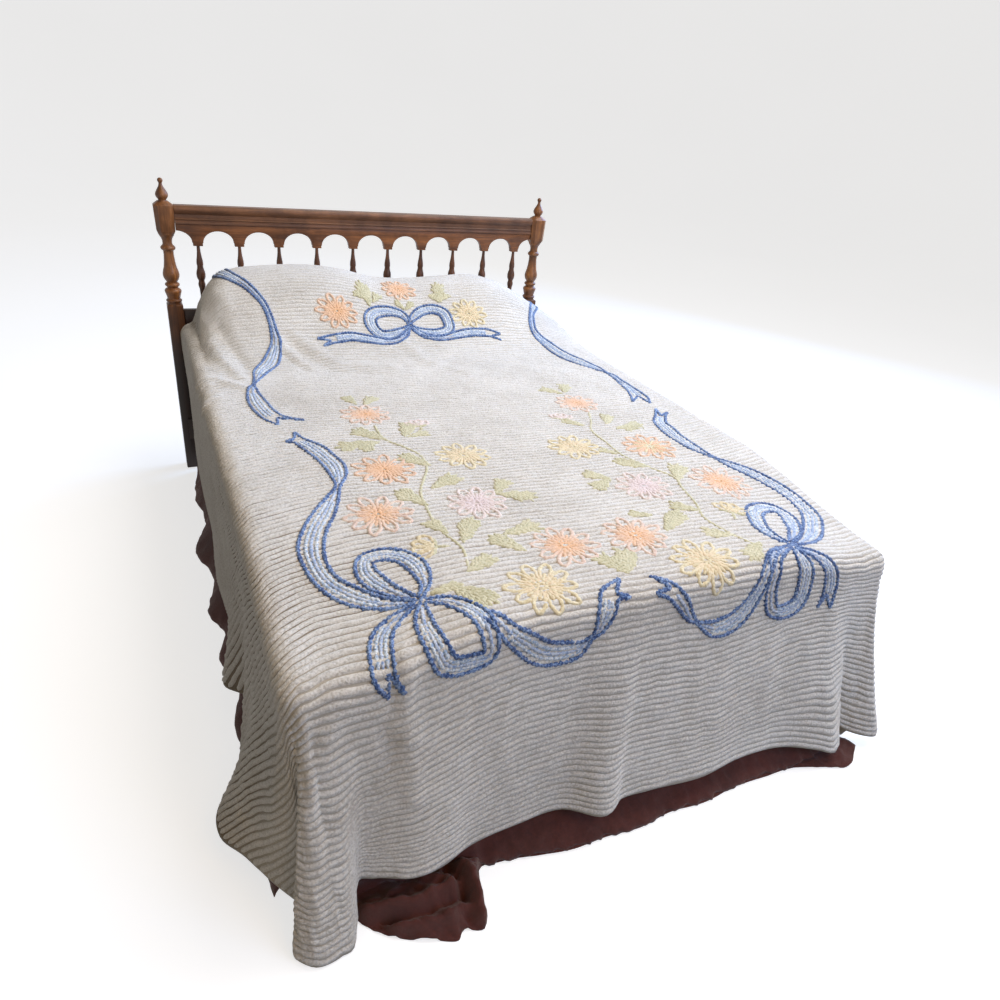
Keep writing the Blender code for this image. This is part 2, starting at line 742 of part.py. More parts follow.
def flat_outline(name, points, thickness, collection, material):
    """A 2D curve outline in X and Z, given a thickness along Y."""
    curve = bpy.data.curves.new(name, "CURVE")
    curve.dimensions = "2D"
    curve.fill_mode = "BOTH"
    curve.extrude = thickness / 2
    spline = curve.splines.new("POLY")
    spline.points.add(len(points) - 1)
    for point, (across, up) in zip(spline.points, points):
        point.co = (across, up, 0.0, 1.0)
    spline.use_cyclic_u = True
    curve.materials.append(material)
    obj = bpy.data.objects.new(name, curve)
    collection.objects.link(obj)
    obj.rotation_euler = (math.pi / 2, 0.0, 0.0)
    return obj


def add_apron(collection, material):
    """The arched apron: round arches between the pendants that the spindles hang from."""
    end = POST_X - POST_BLOCK / 2 - TOUCH
    low, high = APRON_Z
    points = [(end, high), (-end, high)]
    centres = [(number - SPINDLES / 2) * SPINDLE_PITCH for number in range(SPINDLES + 1)]
    half = SPINDLE_PITCH / 2 - PENDANT_HALF
    for centre in centres:
        for step in range(ARCH_STEPS + 1):
            angle = math.pi * (1.0 - step / ARCH_STEPS)
            x = centre + half * math.cos(angle)
            if abs(x) < end:
                points.append((x, low + (ARCH_TOP - low) * math.sin(angle)))
            elif abs(centre) > 5 * SPINDLE_PITCH - 0.01 and step == ARCH_STEPS // 2:
                points.append((math.copysign(end, centre), ARCH_TOP))
    obj = flat_outline("headboard_apron", points, APRON_THICK, collection, material)
    obj.location = (0.0, HEAD_Y, 0.0)


def add_top_rail(collection, material):
    """The moulded top rail: one section, both sides alike, run between the posts' blocks."""
    end = POST_X - POST_BLOCK / 2 - TOUCH
    made = bmesh.new()
    right = [(-depth, z) for depth, z in TOP_RAIL_PROFILE]
    left = [(depth, z) for depth, z in reversed(TOP_RAIL_PROFILE)]
    verts = [made.verts.new((-end, HEAD_Y + depth, z)) for depth, z in right + left]
    face = made.faces.new(verts)
    grown = bmesh.ops.extrude_face_region(made, geom=[face])
    moved = [part for part in grown["geom"] if isinstance(part, bmesh.types.BMVert)]
    bmesh.ops.translate(made, verts=moved, vec=(2 * end, 0, 0))
    bmesh.ops.recalc_face_normals(made, faces=made.faces)
    mesh = bpy.data.meshes.new("headboard_top_rail")
    made.to_mesh(mesh)
    made.free()
    add_object("headboard_top_rail", mesh, collection, material, smooth_angle=35)


def add_board(collection, material):
    end = POST_X - POST_LEG / 2 - TOUCH
    half = BOARD_THICK / 2
    low = (-end, HEAD_Y - half, BOARD_Z[0])
    high = (end, HEAD_Y + half, BOARD_Z[1])
    board = add_object("headboard_board", box_mesh("board", low, high), collection, material)
    add_bevel(board, 0.003)


def build():
    clear_scene()
    parts = make_collection("draped_bedspread")
    helpers = make_collection("helpers", hidden=True)
    materials = make_materials()
    add_spread(parts, materials["chenille"])
    add_skirts(parts, materials["skirt_cloth"])
    add_mattress(parts, materials["ticking"])
    spring_bottom = add_box_spring(parts, materials["ticking"])
    add_frame(parts, materials["steel"], spring_bottom)
    add_pillows(parts, materials["pillow_cloth"])
    add_posts(parts, helpers, materials["brown_wood"])
    add_spindles(parts, materials["brown_wood"])
    add_apron(parts, materials["brown_wood"])
    add_top_rail(parts, materials["brown_wood"])
    add_board(parts, materials["dark_wood"])


build()
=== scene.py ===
import math

import bmesh
import bpy
import numpy as np
from mathutils import Matrix, Vector, noise


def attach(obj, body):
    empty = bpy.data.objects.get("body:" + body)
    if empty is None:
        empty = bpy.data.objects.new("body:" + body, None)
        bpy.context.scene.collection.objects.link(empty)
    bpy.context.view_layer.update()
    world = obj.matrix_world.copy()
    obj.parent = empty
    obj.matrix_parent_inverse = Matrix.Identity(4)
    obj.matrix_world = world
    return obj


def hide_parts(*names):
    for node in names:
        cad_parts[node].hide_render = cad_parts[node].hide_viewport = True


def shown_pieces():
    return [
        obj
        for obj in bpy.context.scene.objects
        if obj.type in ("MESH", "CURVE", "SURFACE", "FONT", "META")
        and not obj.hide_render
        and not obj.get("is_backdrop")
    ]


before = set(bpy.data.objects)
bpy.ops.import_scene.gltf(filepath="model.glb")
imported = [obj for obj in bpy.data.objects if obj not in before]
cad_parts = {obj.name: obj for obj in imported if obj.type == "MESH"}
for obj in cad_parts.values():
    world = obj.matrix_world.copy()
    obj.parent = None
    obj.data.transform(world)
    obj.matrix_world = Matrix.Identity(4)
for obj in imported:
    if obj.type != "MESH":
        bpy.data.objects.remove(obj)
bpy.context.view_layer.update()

headY = 1.0361  # the headboard's centre line; "down" is a distance from it towards the foot
bedX = -0.012  # the bed stands a little left of the headboard's middle


# camera, floor and light

camera = {"place": (-0.818, -1.7369, 1.357), "turn": 28.42, "tilt": 28.70, "roll": 6.39, "lens": 25.668,
          "sensor": 36.0}
studio = {
    "floorTint": (205, 205, 206), "floorGlow": 0.67, "floorReach": 7.0, "sweepRadius": 4.0, "wallTop": 8.0,
    "sweepSteps": 8, "floorTurns": 48, "floorSink": 0.0005, "skyTint": (252, 246, 238), "skyStrength": 0.20,
    "floorRings": (0.0, 0.3, 0.7),
    "softboxes": (  # name, place, aim, width, height, watts, tint
        ("ceilingSoftbox", (1.3, -0.15, 3.3), (0.0, -0.35, 0.5), 3.0, 2.4, 108.0, (252, 251, 252)),
        ("windowSoftbox", (2.9, 1.7, 2.1), (0.3, 0.1, 0.5), 2.0, 1.8, 108.0, (138, 190, 255)),
        ("frontFill", (1.9, -3.7, 2.3), (0.2, -1.0, 0.35), 2.0, 1.6, 65.0, (168, 204, 255)),
        ("warmLamp", (0.2, -2.9, 2.9), (-0.05, -0.8, 0.5), 1.4, 1.2, 18.0, (255, 208, 140)),
        ("overheadLamp", (-0.1, -0.9, 3.1), (-0.05, -0.75, 0.5), 1.1, 0.9, 4.0, (255, 214, 140)),
        ("lowFill", (-2.0, -2.4, 0.9), (-0.85, -0.95, 0.25), 1.0, 0.8, 1.8, (255, 232, 206)),
    ),
}


def screenTint(tint):  # a screen colour from 0 to 255 as the linear one that a shader takes
    parts = [part / 255 for part in tint]
    return tuple(((p + 0.055) / 1.055) ** 2.4 if p > 0.04 else p / 12.92 for p in parts) + (1.0,)


def intoScene(name, data):
    holder = bpy.data.objects.new(name, data)
    bpy.context.scene.collection.objects.link(holder)
    return holder


def meshFrom(made, name, smoothAngle=None):
    mesh = bpy.data.meshes.new(name)
    made.to_mesh(mesh)
    made.free()
    if smoothAngle is not None:
        mesh.shade_smooth()
        mesh.set_sharp_from_angle(angle=math.radians(smoothAngle))
    return mesh


def spinRound(made, profile, x, y, steps):  # profile is (height, radius)
    line = [made.verts.new((x + radius, y, z)) for z, radius in profile]
    edges = [made.edges.new(pair) for pair in zip(line, line[1:])]
    bmesh.ops.spin(made, geom=line + edges, cent=(x, y, 0), axis=(0, 0, 1), dvec=(0, 0, 0),
                   angle=2 * math.pi, steps=steps, use_merge=True)


def aimCamera():
    turn, tilt, roll = (math.radians(camera[key]) for key in ("turn", "tilt", "roll"))
    ahead = Vector((math.sin(turn) * math.cos(tilt), math.cos(turn) * math.cos(tilt), -math.sin(tilt)))
    level = Vector((math.cos(turn), -math.sin(turn), 0.0))
    upright = level.cross(ahead)
    right = level * math.cos(roll) + upright * math.sin(roll)
    up = upright * math.cos(roll) - level * math.sin(roll)
    holder = intoScene("camera", bpy.data.cameras.new("camera"))
    holder.data.sensor_width = camera["sensor"]
    holder.data.lens = camera["lens"]
    holder.matrix_world = Matrix.Translation(camera["place"]) @ Matrix((right, up, -ahead)).transposed().to_4x4()
    bpy.context.scene.camera = holder


def lightStudio():
    sky = bpy.data.worlds.new("sky")
    sky.use_nodes = True
    glow = sky.node_tree.nodes["Background"]
    glow.inputs["Color"].default_value = screenTint(studio["skyTint"])
    glow.inputs["Strength"].default_value = studio["skyStrength"]
    bpy.context.scene.world = sky
    bpy.context.scene.view_settings.view_transform = "Standard"
    for name, place, aim, width, height, watts, tint in studio["softboxes"]:
        box = bpy.data.lights.new(name, "AREA")
        box.shape = "RECTANGLE"
        box.size, box.size_y = width, height
        box.energy = watts
        box.color = screenTint(tint)[:3]
        holder = intoScene(name, box)
        holder.location = place
        holder.rotation_euler = (Vector(aim) - Vector(place)).to_track_quat("-Z", "Y").to_euler()


def layFloor(material):  # a round sweep, so that no edge shows from any side
    reach, radius, steps = studio["floorReach"], studio["sweepRadius"], studio["sweepSteps"]
    profile = [(0.0, reach * share) for share in studio["floorRings"]]
    for step in range(steps + 1):
        angle = math.pi / 2 * step / steps
        profile.append((radius * (1 - math.cos(angle)), reach + radius * math.sin(angle)))
    profile.append((studio["wallTop"], reach + radius))
    made = bmesh.new()
    spinRound(made, [(up - studio["floorSink"], out) for up, out in profile], 0.0, 0.0, studio["floorTurns"])
    bmesh.ops.remove_doubles(made, verts=made.verts, dist=studio["floorSink"])
    mesh = meshFrom(made, "floor")
    mesh.shade_smooth()
    mesh.materials.append(material)
    floor = intoScene("floor", mesh)
    floor.visible_diffuse = False  # it shows pale, and the softboxes alone shade the bed
    floor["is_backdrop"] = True


# materials

class Paint:  # one material and its nodes
    def __init__(self, name):
        self.material = bpy.data.materials.new(name)
        self.material.use_nodes = True
        self.tree = self.material.node_tree
        self.shader = self.tree.nodes["Principled BSDF"]
        self.place = self.node("TexCoord").outputs["Object"]

    def feed(self, socket, value):
        if isinstance(value, bpy.types.NodeSocket):
            self.tree.links.new(value, socket)
        else:
            socket.default_value = value

    def node(self, kind, options=None, **inputs):  # i0, i1 and so on name a socket by its number
        made = self.tree.nodes.new("ShaderNode" + kind)
        for key, value in (options or {}).items():
            setattr(made, key, value)
        for key, value in inputs.items():
            self.feed(made.inputs[int(key[1:]) if key[1:].isdigit() else key.replace("_", " ")], value)
        return made

    def spots(self, scale, detail=3.0, roughness=0.55, distortion=0.0, where=None):
        return self.node("TexNoise", Vector=where or self.place, Scale=scale, Detail=detail,
                         Roughness=roughness, Distortion=distortion).outputs[0]

    def calculate(self, kind, first, second):
        return self.node("Math", {"operation": kind}, i0=first, i1=second).outputs[0]

    def weighed(self, *parts):
        total = None
        for amount, share in parts:
            part = self.calculate("MULTIPLY", amount, share)
            total = self.calculate("ADD", total, part) if total else part
        return total

    def span(self, value, low, high, first, last):
        return self.node("MapRange", Value=value, i1=low, i2=high, i3=first, i4=last).outputs[0]

    def ramp(self, amount, *stops):
        made = self.node("ValToRGB", Fac=amount)
        line = made.color_ramp
        while len(line.elements) < len(stops):
            line.elements.new(0.5)
        for element, (place, tint) in zip(line.elements, stops):
            element.position = place
            element.color = screenTint(tint)
        return made.outputs["Color"]

    def blend(self, kind, amount, first, second):
        options = {"data_type": "RGBA", "blend_type": kind}
        return self.node("Mix", options, i0=amount, i6=first, i7=second).outputs[2]

    def finish(self, tint, bumps, **values):  # bumps are (height, distance in metres, strength), coarse ones first
        for name, value in (("Base_Color", tint), *values.items()):
            self.feed(self.shader.inputs[name.replace("_", " ")], value)
        normal = None
        for height, distance, strength in bumps:
            bump = self.node("Bump", Height=height, Distance=distance, Strength=strength)
            if normal:
                self.tree.links.new(normal, bump.inputs["Normal"])
            normal = bump.outputs["Normal"]
        if normal:
            self.tree.links.new(normal, self.shader.inputs["Normal"])
        return self.material


def makeFloorPaint():
    paint = Paint("paleFloor")
    tint = paint.ramp(paint.spots(0.7), (0.3, (200, 200, 201)), (0.7, studio["floorTint"]))
    return paint.finish(tint, (), Roughness=0.9, Emission_Color=(1.0, 1.0, 1.0, 1.0),
                        Emission_Strength=studio["floorGlow"])


def makeYarn(name, light, middle, dark, blotch, even=1.0, heart=None):  # fluffy cut tufts on a line
    paint = Paint(name)
    clumps, fibres = paint.spots(230.0, 2.0, 0.5), paint.spots(1300.0, 2.0, 0.6)
    mixed = paint.weighed((clumps, 0.50), (paint.spots(blotch, 3.0, 0.6), 0.25), (fibres, 0.25))
    tint = paint.ramp(mixed, (0.50 - 0.12 * even, dark), (0.50, middle), (0.50 + 0.10 * even, light))
    if heart:  # another colour towards the middle of a flower
        away = paint.node("Attribute", {"attribute_name": "heart"}).outputs["Fac"]
        tint = paint.blend("MIX", paint.span(away, 0.10, 0.75, 0.85, 0.0), tint, screenTint(heart))
    return paint.finish(tint, ((clumps, 0.0026, 0.9), (fibres, 0.0008, 0.8)), Roughness=0.95,
                        Specular_IOR_Level=0.15, Sheen_Weight=0.3, Sheen_Roughness=0.6)


def makeWeave(name, light, dark, threads, sheen=0.1, blotch=3.0, rough=0.9, deep=None):
    paint = Paint(name)
    cloth = paint.node("UVMap", {"uv_map": "cloth"}).outputs["UV"]
    warp, weft = (paint.node("TexWave", {"bands_direction": way}, Vector=cloth, Scale=threads / 6.2832,
                             Distortion=0.6, Detail=1.0).outputs["Fac"] for way in "XY")
    weave, slub = paint.calculate("MAXIMUM", warp, weft), paint.spots(160.0, 4.0, 0.6)
    mixed = paint.weighed((weave, 0.25), (slub, 0.30), (paint.spots(blotch, 4.0, 0.6), 0.45))
    tint = paint.ramp(mixed, (0.35, dark), (0.68, light))
    if deep:  # painted shade over part of the cloth, darker there
        shade, spans = deep
        place, share = paint.node("SeparateXYZ", Vector=cloth).outputs, None
        for axis, none, full in spans:
            part = paint.span(place[axis], none, full, 0.0, 1.0)
            share = paint.calculate("MULTIPLY", share, part) if share else part
        tint = paint.blend("MULTIPLY", share, tint, screenTint(shade))
    return paint.finish(tint, ((slub, 0.0006, 0.4), (weave, 0.0004, 0.6)), Roughness=rough,
                        Specular_IOR_Level=0.25, Sheen_Weight=sheen, Sheen_Roughness=0.5)


def makeWood(name, light, middle, dark, along, paintedShadeBelow=()):  # along is 0 for X and 2 for Z
    paint = Paint(name)
    stretch = [1.0, 1.0, 1.0]
    stretch[along] = 0.055
    where = paint.node("Mapping", Vector=paint.place, Scale=stretch).outputs["Vector"]
    grain, figure = paint.spots(95.0, 6.0, 0.62, 1.1, where), paint.spots(17.0, 3.0, 0.5, 2.2, where)
    pores, grime = paint.spots(900.0, 2.0, 0.6, 0.0, where), paint.spots(14.0, 4.0, 0.6)
    tint = paint.ramp(paint.weighed((grain, 0.5), (figure, 0.5)), (0.32, dark), (0.50, middle), (0.66, light))
    worn = paint.ramp(grime, (0.35, (176, 170, 165)), (0.6, (255, 255, 255)))
    tint = paint.blend("MULTIPLY", 0.75, tint, worn)
    height = paint.node("SeparateXYZ", Vector=paint.place).outputs["Z"]
    for low, high, shade in paintedShadeBelow:  # painted shade, darker below a height
        tint = paint.blend("MULTIPLY", paint.span(height, low, high, 1.0, 0.0), tint, screenTint(shade))
    return paint.finish(tint, ((grain, 0.0004, 0.25), (pores, 0.0002, 0.35)), Coat_Weight=0.14,
                        Roughness=paint.span(grime, 0.0, 1.0, 0.56, 0.34), Specular_IOR_Level=0.35,
                        Coat_Roughness=0.22)


def makeFrameSteel():
    paint = Paint("brownSteel")
    chips, peel = paint.spots(55.0, 6.0, 0.7), paint.spots(700.0, 2.0, 0.5)
    tint = paint.ramp(chips, (0.34, (92, 74, 58)), (0.42, (52, 44, 40)), (0.7, (64, 56, 52)))
    return paint.finish(tint, ((chips, 0.0003, 0.3), (peel, 0.0001, 0.3)), Metallic=0.35,
                        Roughness=paint.span(chips, 0.0, 1.0, 0.62, 0.38))


def makeTicking():
    paint = Paint("ticking")
    stripes = paint.node("TexWave", {"bands_direction": "X"}, Vector=paint.place, Scale=16.0,
                         Distortion=0.15, Detail=2.0, Detail_Scale=20.0).outputs["Fac"]
    stripe = paint.ramp(stripes, (0.90, (226, 222, 212)), (0.95, (176, 186, 196)))
    soil = paint.ramp(paint.spots(5.0, 4.0), (0.35, (228, 222, 208)), (0.7, (255, 255, 255)))
    return paint.finish(paint.blend("MULTIPLY", 0.8, stripe, soil), ((paint.spots(800.0, 3.0, 0.6), 0.0004, 0.5),),
                        Roughness=0.85, Sheen_Weight=0.1)


# the drape: one shape for the spread, its rows and its motifs

cloth = {
    "half": 1.195, "drop": 0.540, "headEdge": 0.047, "topHalf": 0.652, "topDown": 1.910,
    "topZ": 0.598, "edgeRound": 0.040, "cornerSag": 0.055, "sagFromX": 0.30,
    "headSag": (0.040, 0.50, 0.652, 0.06, 0.34),  # how deep, then from and to left of the middle, and down
    "sagFromDown": 1.42, "cornerPower": 6.0, "floorClear": 0.004, "step": 0.005, "across": 120,
    "lengthAt": -0.20, "lengthStep": 0.002,
    "crest": (  # x, rise over the pillows
        (-.72, .012), (-.665, .034), (-.645, .096), (-.62, .146), (-.585, .184), (-.53, .198), (-.43, .209),
        (-.27, .213), (-.16, .2), (-.05, .173), (.06, .166), (.21, .174), (.37, .178), (.465, .15), (.54, .111),
        (.61, .07), (.64, .05), (.7, .02),
    ),
    "crestShare": (  # down, share of that rise
        (.04, .5), (.08, .74), (.13, .93), (.19, 1), (.27, .97), (.35, .79), (.43, .5), (.52, .21), (.6, .06),
        (.68, 0),
    ),
    "hem": (  # along from the middle of the foot, x, down, z, how a fold deepens
        (-3.59, -.69, .11, .19, 1.25), (-3.34, -.71, .325, .195, 1.25), (-3.14, -.712, .515, .15, 1.25),
        (-2.89, -.708, .765, .105, 1.25), (-2.66, -.722, .99, .095, 1.25), (-2.5, -.714, 1.16, .1, 1.25),
        (-2.38, -.716, 1.285, .09, 1.6), (-2.29, -.757, 1.38, .085, 2.4), (-2.21, -.712, 1.45, .095, 1.9),
        (-2.15, -.702, 1.505, .095, 1.5), (-2.08, -.742, 1.58, .09, 1.8), (-2, -.757, 1.655, .09, 2.2),
        (-1.91, -.813, 1.74, .085, 2.4), (-1.85, -.813, 1.795, .085, 2.2), (-1.77, -.775, 1.855, .085, 1.8),
        (-1.7, -.74, 1.915, .077, 1.5), (-1.62, -.704, 1.96, .062, 1.25), (-1.4, -.664, 1.98, .03, 1.25),
        (-1, -.672, 2, .02, 1.25), (-.82, -.719, 2.03, .005, 1.25), (-.75, -.688, 2.056, .004, 1.25),
        (-.68, -.646, 2.054, .005, 1.25), (-.62, -.616, 2.04, .016, 1.25), (-.58, -.604, 1.99, .085, 1.25),
        (-.52, -.566, 1.99, .095, 1.25), (-.46, -.5, 2.014, .092, 1.25), (-.4, -.438, 2.012, .093, 1.25),
        (-.35, -.388, 1.995, .094, 1.25), (-.24, -.27, 1.984, .095, 1.25), (-.15, -.165, 1.986, .095, 1.25),
        (-.07, -.082, 2.03, .088, 1.25), (-.02, -.038, 2.01, .093, 1.25), (.05, .04, 2.012, .092, 1.25),
        (.18, .185, 2.024, .09, 1.25), (.27, .295, 2.014, .092, 1.25), (.36, .415, 2.02, .088, 1.25),
        (.45, .52, 2.048, .068, 1.25), (.5, .578, 2.062, .05, 1.25), (.55, .622, 2.03, .055, 1.25),
        (.58, .64, 2.004, .06, 1.25), (.62, .664, 2.016, .05, 1.25), (.68, .705, 2.04, .04, 1.25),
        (.75, .745, 2.052, .034, 1.25), (.82, .768, 2.03, .034, 1.25), (1, .712, 2.004, .03, 1.25),
        (1.4, .684, 1.976, .03, 1.25), (1.62, .712, 1.95, .05, 1.25), (1.7, .742, 1.905, .06, 1.5),
        (1.77, .778, 1.85, .07, 1.8), (1.84, .81, 1.785, .075, 2.2), (1.9, .815, 1.735, .08, 2.4),
        (2.08, .76, 1.57, .09, 1.8), (2.2, .722, 1.45, .095, 1.25), (2.36, .738, 1.29, .09, 1.25),
        (2.55, .7, 1.105, .1, 1.25), (2.75, .716, .905, .095, 1.25), (2.95, .698, .705, .105, 1.25),
        (3.15, .708, .505, .14, 1.25), (3.37, .696, .285, .16, 1.25), (3.59, .688, .11, .15, 1.25),
    ),
    "creases": (  # how far it stands up, how wide it is, and where it runs on the cloth
        (.004, .016, ((-.62, 2.04), (-.66, 2.11), (-.71, 2.2))),
        (.0045, .02, ((-.373, .525), (-.266, .68), (-.1, .725))),
        (-.0035, .02, ((-.39, .57), (-.3, .73), (-.14, .78))), (.004, .02, ((-.041, .49), (.017, .68), (.112, .8))),
        (.005, .014, ((-.54, 2.06), (-.48, 2.17), (-.47, 2.3))),
        (-.0075, .016, ((-.605, .45), (-.575, .55), (-.545, .67))),
        (.0075, .014, ((-.635, .5), (-.605, .62), (-.572, .74))),
        (.0065, .013, ((-.705, .72), (-.645, .73), (-.56, .84))), (-.0065, .015, ((-.7, .79), (-.64, .8))),
        (.0055, .012, ((-.71, .9), (-.65, .87))), (.005, .014, ((-.435, .54), (-.385, .66))),
        (-.0045, .013, ((-.425, .6), (-.38, .71))), (.004, .016, ((-.68, .3), (-.64, .42), (-.62, .5))),
        (-.002, .016, ((-.7, .46), (-.655, .6))), (-.01, .034, ((-.775, .06), (-.76, .3))),
        (.0055, .024, ((-.69, .34), (-.658, .5))), (.003, .018, ((-.6, .3), (-.56, .4))),
        (.0035, .02, ((-.8, .9), (-.78, 1.2), (-.82, 1.45))), (.003, .016, ((-.04, 2.14), (-.045, 2.48))),
        (.007, .015, ((-.495, 1.97), (-.5, 2.06), (-.48, 2.15))),
        (-.005, .014, ((-.525, 2), (-.53, 2.1), (-.515, 2.2))), (.0022, .014, ((-.3, 2.06), (-.3, 2.3))),
        (.0022, .013, ((-.17, 2.1), (-.19, 2.36))), (.0022, .014, ((.14, 2.1), (.13, 2.42))),
        (.0022, .013, ((.33, 2.08), (.32, 2.4))), (-.0035, .012, ((-.655, 2.06), (-.665, 2.16), (-.662, 2.24))),
        (.003, .018, ((.5, 2.1), (.56, 2.26), (.575, 2.48))),
    ),
}


def smoothStep(value, start, end):
    share = np.clip((value - start) / (end - start), 0.0, 1.0)
    return share * share * (3.0 - 2.0 * share)


def curveThrough(rows, column, value):
    table = np.array(rows, float)
    place, height = table[:, 0], table[:, column]
    slope = np.gradient(height, place)
    value = np.clip(value, place[0], place[-1])
    row = np.clip(np.searchsorted(place, value) - 1, 0, len(place) - 2)
    gap = place[row + 1] - place[row]
    share = (value - place[row]) / gap
    ease = share * share * (3.0 - 2.0 * share)
    pull = slope[row] * share * (1.0 - share) ** 2 + slope[row + 1] * share * share * (share - 1.0)
    return height[row] + (height[row + 1] - height[row]) * ease + gap * pull


def between(grid, r, c, rs, cs):  # the value at a share of the way between a grid's rows and columns
    upper = grid[r, c] * (1 - cs) + grid[r, c + 1] * cs
    lower = grid[r + 1, c] * (1 - cs) + grid[r + 1, c + 1] * cs
    return upper * (1 - rs) + lower * rs


def sinkOfCorner(x, down):
    across = smoothStep(np.abs(x - bedX), cloth["sagFromX"], cloth["topHalf"])
    return cloth["cornerSag"] * across * smoothStep(down, cloth["sagFromDown"], cloth["topDown"])


def sinkAtHead(x, down, sizes):  # only the left corner sinks there
    depth, startX, endX, near, far = sizes
    return depth * smoothStep(bedX - x, startX, endX) * (1.0 - smoothStep(down, near, far))


def topHeight(x, down):
    rise = curveThrough(cloth["crest"], 1, x) * curveThrough(cloth["crestShare"], 1, down)
    return cloth["topZ"] + rise - sinkOfCorner(x, down) - sinkAtHead(x, down, cloth["headSag"])


def lengthsAlong(places, heights):
    return np.concatenate([[0.0], np.cumsum(np.hypot(np.diff(places), np.diff(heights)))])


def hangPoint(edge, out, along, length, full):
    bend = cloth["edgeRound"]
    angle = np.clip(length / bend, 0.0, math.pi / 2)
    share = np.maximum(length - bend * math.pi / 2, 0.0) / np.maximum(full - bend * math.pi / 2, 0.01)
    grown = share ** curveThrough(cloth["hem"], 4, along)
    fall = edge[2] - bend - curveThrough(cloth["hem"], 3, along)
    reach = bend * np.sin(angle)
    x, down = (edge[axis] + out[axis] * reach +
               (curveThrough(cloth["hem"], axis + 1, along) - edge[axis] - out[axis] * bend) * grown
               for axis in (0, 1))
    return x, down, np.maximum(edge[2] - bend * (1.0 - np.cos(angle)) - fall * share, cloth["floorClear"])


def drapeRow(across, down, past):
    out = np.linspace(0.0, cloth["topHalf"], cloth["across"])
    left, right = (lengthsAlong(out, topHeight(bedX + way * out, down)) for way in (-1.0, 1.0))
    side = np.where(across < 0.0, -1.0, 1.0)
    topLength = np.where(side < 0.0, left[-1], right[-1])
    flat = np.where(side < 0.0, np.interp(np.abs(across), left, out), np.interp(np.abs(across), right, out))
    beyond = np.maximum(np.abs(across) - topLength, 0.0)
    power, drop = cloth["cornerPower"], cloth["drop"]
    length = (beyond**power + past**power) ** (1.0 / power)
    angle = np.arctan2(past, np.maximum(beyond, 1e-9))
    nearSide = drop * np.tan(np.minimum(angle, math.pi / 4))
    nearFoot = drop * (2.0 - beyond / max(past, 1e-9))
    roundCorner = np.where(angle < math.pi / 4, nearSide, nearFoot)
    alongSide = cloth["topHalf"] + 2.0 * drop - roundCorner + cloth["topDown"] - down
    along = side * np.where(beyond > 0.0, alongSide, flat)
    x = bedX + side * flat
    out = (np.where(beyond > 0.0, side * np.cos(angle), 0.0), np.sin(angle) * (past > 0.0))
    full = drop if past > 0.0 else cloth["half"] - topLength
    return hangPoint((x, down, topHeight(x, down)), out, along, length, full)


def facingOut(place):
    facing = np.cross(np.gradient(place, axis=1), -np.gradient(place, axis=0))
    return facing / (np.linalg.norm(facing, axis=2, keepdims=True) + 1e-12)


def ridgeAlong(u, v, width, line):  # 1 on a line through a few places, falling to 0 beside it
    best = np.full(u.shape, 9.0)
    for (u0, v0), (u1, v1) in zip(line, line[1:]):
        lengthSquared = (u1 - u0) ** 2 + (v1 - v0) ** 2
        share = np.clip(((u - u0) * (u1 - u0) + (v - v0) * (v1 - v0)) / lengthSquared, 0.0, 1.0)
        best = np.minimum(best, np.hypot(u - u0 - share * (u1 - u0), v - v0 - share * (v1 - v0)))
    return np.exp(-((best / width) ** 2))


def mapCloth():
    downs = np.arange(cloth["headEdge"], cloth["topDown"] + 1e-9, cloth["lengthStep"])
    lengths = lengthsAlong(downs, topHeight(np.full(len(downs), cloth["lengthAt"]), downs))
    whole = lengths[-1] + cloth["drop"]
    v = np.linspace(0.0, whole, int(round(whole / cloth["step"])) + 1)
    u = np.linspace(-cloth["half"], cloth["half"], int(round(2 * cloth["half"] / cloth["step"])) + 1)
    place = np.empty((len(v), len(u), 3))
    for row, length in enumerate(v):
        down = float(np.interp(length, lengths, downs))
        x, atDown, z = drapeRow(u, down, max(length - lengths[-1], 0.0))
        place[row] = np.stack([x, headY - atDown, z], -1)
    lift = sum(height * ridgeAlong(*np.meshgrid(u, v), width, line) for height, width, line in cloth["creases"])
    place = place + facingOut(place) * lift[..., None]
    place[..., 2] = np.maximum(place[..., 2], cloth["floorClear"])
    return {"place": place, "facing": facingOut(place), "whole": whole,
            "perU": (len(u) - 1) / (2 * cloth["half"]), "perV": (len(v) - 1) / whole}


drape = mapCloth()
print("drape mapped,", round(drape["whole"], 3), "m long")


def onCloth(u, v, lift=0.0):  # points on the spread, u across it and v down it, moved out by lift
    rows, columns = drape["place"].shape[:2]
    column = np.clip((u + cloth["half"]) * drape["perU"], 0.0, columns - 1.001)
    row = np.clip(v * drape["perV"], 0.0, rows - 1.001)
    c, r = column.astype(int), row.astype(int)
    shares = (row - r)[..., None], (column - c)[..., None]
    place, facing = (between(drape[key], r, c, *shares) for key in ("place", "facing"))
    return place + facing * np.asarray(lift)[..., None]


# making pieces

def placePiece(name, mesh, material, replaces=()):
    mesh.materials.append(material)
    piece = intoScene(name, mesh)
    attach(piece, "root")
    if replaces:
        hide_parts(*replaces)
    return piece


def thicken(piece, thickness):
    thick = piece.modifiers.new("thickness", "SOLIDIFY")
    thick.thickness = thickness
    thick.offset = 0.0


